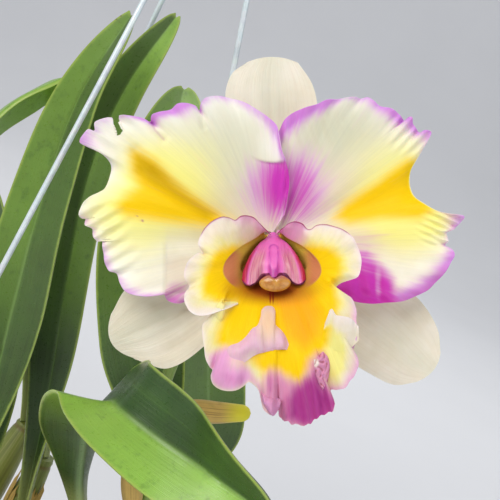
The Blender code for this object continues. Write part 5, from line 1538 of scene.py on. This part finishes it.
def make_root(finish, name, line):
    """A thick pale root with a green growing tip."""
    rings, sides = ROOT_GRID
    t = span(rings)[:, None]
    seed = name_seed(name)
    size = ROOT_RADIUS * (1 - 0.3 * t ** 4) * (1 + 0.04 * np.sin(t * 31 + seed) + 0.03 * np.sin(t * 77))
    size = size * np.sqrt(np.maximum(0, 1 - np.maximum(0, (t - 0.975) / 0.025) ** 2))
    loops = rings_round(even_curve(line, rings), np.maximum(size, 0.02), sides)
    return seat(tube(name, loops, LEVEL, {"tip": smooth((t - 0.86) / 0.05)}), finish, "root", name)


def root_finish():
    """Chalky roots with scuffs of tan, and green where they still grow."""
    p = Paint("root", 0.8, Specular_IOR_Level=0.25, Sheen_Weight=0.2, Sheen_Roughness=0.6)
    cloud = p.cloud(220, 4, 0.65)
    fine = p.cloud(1400, 4, 0.7)
    p.ground(cloud, (206, 204, 188), (168, 172, 152))
    p.coat(p.step(cloud, 0.56, 0.72, 0, 0.8), (140, 120, 86))
    p.coat("tip", (136, 158, 70))
    p.relief(fine, 0.12, 0.8)
    return p.finish(p.step(fine, 0.3, 0.7, 0.7, 0.9))


# Pot: its wall leans out from the floor to the rim, with a deep band round the top

RIM_Z = -420
POT_BASE_Z = -550
POT_BASE_RADIUS = 52
POT_BAND_RADIUS = 77
POT_BAND_HEIGHT = 24
POT_WALL = 5.5
POT_SIDES = 128
POT_FLOOR = 8
DRAIN_RADIUS = 5
DRAIN_RING = 27
WIRE_HOLE_RADIUS = 1.6
WIRE_HOLE_Z = -431
WIRE_ANGLES = (0, 120, 240)


def pot_inside(z):
    """Inner radius of the pot at a height."""
    floor = POT_BASE_Z + POT_FLOOR
    low = POT_BASE_RADIUS - POT_WALL
    high = POT_BAND_RADIUS - POT_WALL
    return mix(low, high, (z - floor) / (RIM_Z - floor))


def cylinder_between(name, start, end, radius, sides=32):
    return tube(name, rings_round([start, end], radius, sides), LEVEL)


def make_pot(finish):
    band = RIM_Z - POT_BAND_HEIGHT
    floor = POT_BASE_Z + POT_FLOOR
    profile = [
        (POT_BASE_RADIUS - 3, POT_BASE_Z), (POT_BASE_RADIUS, POT_BASE_Z),
        (pot_inside(band) + POT_WALL, band), (POT_BAND_RADIUS - 1.6, band),
        (POT_BAND_RADIUS, RIM_Z - 1.5), (POT_BAND_RADIUS - 1.2, RIM_Z), (pot_inside(RIM_Z) + 1, RIM_Z),
        (pot_inside(RIM_Z), RIM_Z - 1.2), (pot_inside(floor), floor), (pot_inside(floor) - 3, floor),
    ]
    profile = rounded(profile, 1.5, 6)
    fine = [profile[0]]
    for a, b in zip(profile, profile[1:]):
        parts = max(1, int(np.linalg.norm(b - a) / 3))
        fine += [mix(a, b, k / parts) for k in range(1, parts + 1)]
    fine = np.array(fine)
    turning = np.sin(fine[:, 1] * 1.7) + 0.6 * np.sin(fine[:, 1] * 0.73 + 1)
    outside = (fine[:, 0] > pot_inside(fine[:, 1]) + 2) & (fine[:, 1] > POT_BASE_Z + 2)
    fine[:, 0] += 0.1 * turning * outside
    pot = turned("pot", fine, POT_SIDES)
    cutters = []
    for angle in np.radians(WIRE_ANGLES):
        ends = [(r * math.cos(angle), r * math.sin(angle), WIRE_HOLE_Z) for r in (64, 84)]
        cutters.append(cylinder_between("wire_hole", *ends, WIRE_HOLE_RADIUS))
    for angle in np.radians((60, 180, 300)):
        x, y = DRAIN_RING * math.cos(angle), DRAIN_RING * math.sin(angle)
        ends = [(x, y, POT_BASE_Z - 2), (x, y, floor + 2)]
        cutters.append(cylinder_between("drain_hole", *ends, DRAIN_RADIUS))
    carve(pot, "DIFFERENCE", cutters)
    bpy.ops.object.shade_smooth_by_angle(angle=math.radians(40))
    return seat(pot, finish, "clay", "pot")


def clay_finish():
    """Unglazed clay: pale salts near the band, darker low down with a little moss there, pits and scuffs.
    """
    p = Paint("clay", 0.85, Specular_IOR_Level=0.25)
    drift = p.cloud(34, 5, 0.62, 0.8, (1, 1, 0.35))
    grain = p.cloud(420, 4, 0.7)
    p.ground(p.step(p.cloud(16, 5, 0.6), 0.3, 0.7), (184, 108, 72), (202, 128, 90))
    p.coat(p.step(grain, 0.55, 0.8, 0, 0.5), (150, 80, 52))
    height = p.sum("MULTIPLY_ADD", drift, 0.05, p.node("SeparateXYZ", {0: p.place()}, "Z"))
    # Darker towards the bottom of the pot
    low = p.step(height, POT_BASE_Z * MM + 0.075, POT_BASE_Z * MM + 0.02)
    p.coat(low, (128, 80, 56), 0.55)
    salts = p.times(p.step(drift, 0.5, 0.68), p.step(grain, 0.25, 0.6, 0.4, 1))
    p.coat(salts, (226, 206, 188), 0.55)
    p.coat(p.times(p.step(drift, 0.44, 0.34), low), (92, 98, 52), 0.8)
    p.relief(p.cloud(6, 2, stretch=(1, 1, 60)), 0.25, 0.5)
    p.relief(grain, 0.18, 0.8)
    p.relief(p.step(p.cells(700), 0, 0.25), 0.1, 0.5)
    return p.finish(p.step(grain, 0.3, 0.7, 0.74, 0.95))


# Bark: a plug that fills the pot, under loose chips

MEDIUM_SIDES = 96
MEDIUM_RINGS = 24
CHIP_COUNT = 300
CHIP_KINDS = 8
CHIP_SEED = 11


def chip_shape(draw):
    """A rough slab about one millimetre across, with broken corners."""
    bpy.ops.object.select_all(action="DESELECT")
    bpy.ops.mesh.primitive_cube_add(size=2)
    bpy.ops.object.mode_set(mode="EDIT")
    bpy.ops.mesh.select_all(action="SELECT")
    bpy.ops.mesh.bevel(offset=0.35, segments=1, affect="VERTICES")
    bpy.ops.mesh.subdivide(number_cuts=1)
    bpy.ops.object.mode_set(mode="OBJECT")
    chip = bpy.context.object
    for point in chip.data.vertices:
        way = Vector([draw.uniform(-0.16, 0.16) for _ in range(3)])
        point.co = (point.co + way) * (1 - 0.12 * abs(point.co.x))
    return chip


def make_medium(finish):
    floor = POT_BASE_Z + POT_FLOOR + GAP
    low, high = pot_inside(floor) - 0.35, pot_inside(MEDIUM_Z) - 0.35
    t = span(MEDIUM_RINGS)
    profile = np.stack([mix(low, high, t), mix(floor, MEDIUM_Z - 1, t)], axis=1)
    parts = [turned("bark_medium", profile, MEDIUM_SIDES)]
    draw = random.Random(CHIP_SEED)
    shapes = [chip_shape(draw) for _ in range(CHIP_KINDS)]
    lines = [(line, RHIZOME_RADIUS) for _, line in RHIZOMES] + [(line, ROOT_RADIUS) for _, line in ROOTS]
    lines.append(([p[:2] for p in ROOT_OVER_RIM[:3]], ROOT_RADIUS))
    tones = []
    for k in range(CHIP_COUNT):
        reach = high - 4
        r = reach * math.sqrt((k + 0.5) / CHIP_COUNT)
        a = k * 2.39996 + draw.uniform(-0.25, 0.25)
        x, y = r * math.cos(a), r * math.sin(a)
        size = (draw.uniform(3.6, 7), draw.uniform(2.4, 4.6), draw.uniform(1.2, 2.6))
        near = min(line_distance(np.array(x), np.array(y), line) - wide for line, wide in lines)
        rise = draw.uniform(-1.6, 1.2) if near > 3.5 else -2.6
        source = shapes[k % len(shapes)]
        copy = bpy.data.objects.new("chip", source.data.copy())
        bpy.context.scene.collection.objects.link(copy)
        place = Matrix.Translation(Vector((x, y, MEDIUM_Z + rise)) * MM)
        place = place @ Matrix.Rotation(draw.uniform(0, 2 * math.pi), 4, "Z")
        tilt = 0.5 if near > 3.5 else 0.12
        place = place @ Matrix.Rotation(draw.uniform(-tilt, tilt), 4, "X")
        place = place @ Matrix.Rotation(draw.uniform(-tilt, tilt), 4, "Y")
        copy.data.transform(place @ Matrix.Diagonal(Vector(size) * MM).to_4x4())
        parts.append(copy)
        tones.append(draw.random())
    for shape in shapes:
        bpy.data.objects.remove(shape)
    for part, tone in zip(parts, [0.5] + tones):
        set_marks(part.data, {"tone": np.full(len(part.data.vertices), tone)})
    bpy.ops.object.select_all(action="DESELECT")
    for part in parts:
        part.select_set(True)
    bpy.context.view_layer.objects.active = parts[0]
    bpy.ops.object.join()
    bpy.ops.object.shade_smooth_by_angle(angle=math.radians(35))
    return seat(parts[0], finish, "bark", "bark_medium")


def bark_finish():
    """Chips of conifer bark, each in its own brown, with corky layers."""
    p = Paint("bark", 0.9, Specular_IOR_Level=0.2)
    layers = p.cloud(160, 4, 0.65, 0.8, (1, 1, 4))
    grain = p.cloud(700, 4, 0.7)
    p.ground("tone", (74, 48, 34), (138, 92, 62))
    p.coat(p.step(layers, 0.45, 0.7, 0, 0.8), (50, 32, 24))
    p.coat(p.step(grain, 0.55, 0.8, 0, 0.5), (164, 118, 84))
    p.relief(layers, 0.5, 0.9)
    p.relief(grain, 0.15, 0.7)
    return p.finish(p.step(grain, 0.3, 0.7, 0.8, 0.98))


# Hanger

WIRE_RADIUS = 1.2
WIRE_TOP_RADIUS = 4.6
WIRE_TOP_Z = -37
WIRE_FOOT_RADIUS = 81
COLLAR_RADIUS = 9
COLLAR_TOP = -30
COLLAR_BOTTOM = -44
HOOK_WIRE_RADIUS = 1.6
HOOK_INNER_RADIUS = 11
HOOK_RINGS = 160


def wire_line(angle):
    """One hanger wire: straight down from the collar, in through the pot's band and up again."""
    a = math.radians(angle)
    line = [(WIRE_TOP_RADIUS, WIRE_TOP_Z), (WIRE_FOOT_RADIUS, -424), (WIRE_FOOT_RADIUS + 0.1, -427.6),
            (79.6, -430.4), (76.6, WIRE_HOLE_Z), (73, WIRE_HOLE_Z), (69.6, WIRE_HOLE_Z),
            (66.4, -430.5), (64.6, -428), (64.4, -423.5)]
    return np.array([(r * math.cos(a), r * math.sin(a), z) for r, z in line])


def make_wire(finish, name, angle):
    path = rounded(wire_line(angle), 1.6, 6)
    long_run = [mix(path[0], path[1], k / 60) for k in range(1, 60)]
    path = np.concatenate([path[:1], long_run, path[1:]])
    wire = tube(name, rings_round(path, WIRE_RADIUS, 20), LEVEL, sharp=45)
    return seat(wire, finish, "steel", name)


def make_hook(finish):
    """The collar that the wires run up into, and the hook that stands on it."""
    profile = [(COLLAR_RADIUS - 2, COLLAR_BOTTOM), (COLLAR_RADIUS, COLLAR_BOTTOM),
               (COLLAR_RADIUS, COLLAR_BOTTOM + 3.4), (COLLAR_RADIUS - 0.7, COLLAR_BOTTOM + 4.2),
               (COLLAR_RADIUS - 0.7, COLLAR_TOP - 4.2), (COLLAR_RADIUS, COLLAR_TOP - 3.4),
               (COLLAR_RADIUS, COLLAR_TOP), (COLLAR_RADIUS - 2, COLLAR_TOP)]
    collar = turned("hook", rounded(profile, 1, 5), 96)
    bend = HOOK_INNER_RADIUS + HOOK_WIRE_RADIUS
    line = [(0, 0, -40), (0, 0, -34), (0, 0, -29.5), (1.6, 0, -25.6), (5, 0, -22.2)]
    for a in np.radians(np.linspace(-40, 200, 15)):
        line.append((bend * math.cos(a), 0, -HOOK_INNER_RADIUS + bend * math.sin(a)))
    line += [(-12.6, 0, -19.4), (-15.6, 0, -23)]
    path = even_curve(line, HOOK_RINGS)
    t = span(HOOK_RINGS)[:, None]
    size = HOOK_WIRE_RADIUS * np.sqrt(np.maximum(0.04, 1 - np.maximum(0, (t - 0.985) / 0.015) ** 2))
    carve(collar, "UNION", [tube("hook_wire", rings_round(path, size, 28), LEVEL)])
    sockets = []
    for angle in WIRE_ANGLES:
        top, foot = wire_line(angle)[:2]
        way = (foot - top) / np.linalg.norm(foot - top)
        sockets.append(cylinder_between("socket", top - way * 0.6, top + way * 14, WIRE_HOLE_RADIUS))
    carve(collar, "DIFFERENCE", sockets)
    bpy.ops.object.shade_smooth_by_angle(angle=math.radians(40))
    return seat(collar, finish, "steel", "hook")


def steel_finish():
    """Galvanised wire: a pale, slightly mottled zinc skin with fine drawing lines."""
    p = Paint("steel", 0.42, Metallic=0.3)
    cloud = p.cloud(140, 4, 0.6)
    p.base = p.blend(0.25, colour(226, 235, 238), p.cells(320, "Color"), "SOFT_LIGHT")
    p.coat(p.step(cloud, 0.4, 0.7), (204, 214, 220))
    p.relief(p.streaks(40, 1), 0.04, 0.5)
    return p.finish(p.step(cloud, 0.3, 0.7, 0.3, 0.5))


# Camera, light and floor

def make_camera():
    right, up, out = (Vector(BLOOM.col[k][:3]) for k in range(3))
    aim = BLOOM.translation - right * CAMERA_ASIDE
    data = bpy.data.cameras.new("camera")
    data.sensor_width = SENSOR
    data.lens = SENSOR * CAMERA_DISTANCE / CAMERA_HEIGHT
    data.clip_start = 0.01
    camera = bpy.data.objects.new("camera", data)
    bpy.context.scene.collection.objects.link(camera)
    turn = Matrix((right, up, out)).transposed().to_4x4()
    camera.matrix_world = Matrix.Translation((aim + out * CAMERA_DISTANCE) * MM) @ turn
    bpy.context.scene.camera = camera


def add_light(name, place, aim, size, power, tint=(1, 1, 1)):
    data = bpy.data.lights.new(name, "AREA")
    data.shape = "DISK"
    data.size = size
    data.energy = power
    data.color = tint
    light = bpy.data.objects.new(name, data)
    bpy.context.scene.collection.objects.link(light)
    light.location = place
    light.rotation_mode = "QUATERNION"
    light.rotation_quaternion = (Vector(aim) - Vector(place)).to_track_quat("-Z", "Y")


def make_studio():
    base = cad_box[0][2]
    size = 6
    bpy.ops.object.select_all(action="DESELECT")
    bpy.ops.mesh.primitive_plane_add(size=size, location=(0, 0, base))
    floor = bpy.context.object
    floor.name = "floor"
    bpy.ops.object.mode_set(mode="EDIT")
    bpy.ops.mesh.select_all(action="DESELECT")
    bpy.ops.object.mode_set(mode="OBJECT")
    for edge in floor.data.edges:
        edge.select = all(floor.data.vertices[k].co.y > 0 for k in edge.vertices)
    bpy.ops.object.mode_set(mode="EDIT")
    bpy.ops.mesh.select_mode(type="EDGE")
    bpy.ops.mesh.extrude_region_move(TRANSFORM_OT_translate={"value": (0, 0, 4)})
    bpy.ops.object.mode_set(mode="OBJECT")
    round_in = floor.modifiers.new("sweep", "BEVEL")
    round_in.width = 1.4
    round_in.segments = 24
    round_in.limit_method = "ANGLE"
    apply_all(floor)
    bpy.ops.object.shade_smooth()
    p = Paint("pale_floor", 0.8, Specular_IOR_Level=0.2)
    p.ground(p.cloud(6), (228, 229, 232), (222, 223, 226))
    floor.data.materials.append(p.finish())
    place = Vector(BLOOM_CENTRE) * MM
    add_light("window", (-0.75, -1.1, 0.75), place, 1.3, 21, (1, 0.985, 0.96))
    add_light("fill", (1.2, -1, 0.1), place, 1.5, 6, (0.93, 0.96, 1))
    add_light("back", (0.5, 1, 0.9), place, 1, 9)
    add_light("wall", (0, 0.9, 0.9), (0, 3, 0.3), 1.6, 8)
    sky = bpy.data.worlds.new("studio")
    bpy.context.scene.world = sky
    sky.use_nodes = True
    sky.node_tree.nodes["Background"].inputs["Color"].default_value = (0.86, 0.88, 0.92, 1)
    sky.node_tree.nodes["Background"].inputs["Strength"].default_value = 0.42
    bpy.context.scene.view_settings.view_transform = "Standard"


def main():
    make_camera()
    make_studio()
    petal = petal_finish()
    make_left_petal(petal)
    make_right_petal(petal)
    sepal = sepal_finish()
    for name in SEPALS:
        make_sepal(name, sepal)
    make_lip(lip_finish())
    make_column(column_finish())
    make_anther_cap(anther_finish())
    leaf = leaf_finish()
    for row in LEAVES:
        make_leaf(leaf, *row)
    husk = husk_finish()
    make_stalk(stalk_finish())
    make_sheath(husk)
    bulb = bulb_finish()
    for row in BULBS:
        make_bulb(bulb, *row)
        make_husk(husk, *row)
    for row in RHIZOMES:
        make_rhizome(bulb, *row)
    root = root_finish()
    for name, line in ROOTS:
        make_root(root, name, laid(line, ROOT_RADIUS))
    make_root(root, "root_over_rim", ROOT_OVER_RIM)
    make_pot(clay_finish())
    make_medium(bark_finish())
    steel = steel_finish()
    for name, angle in zip(("wire_right", "wire_rear", "wire_front"), WIRE_ANGLES):
        make_wire(steel, name, angle)
    make_hook(steel)


main()
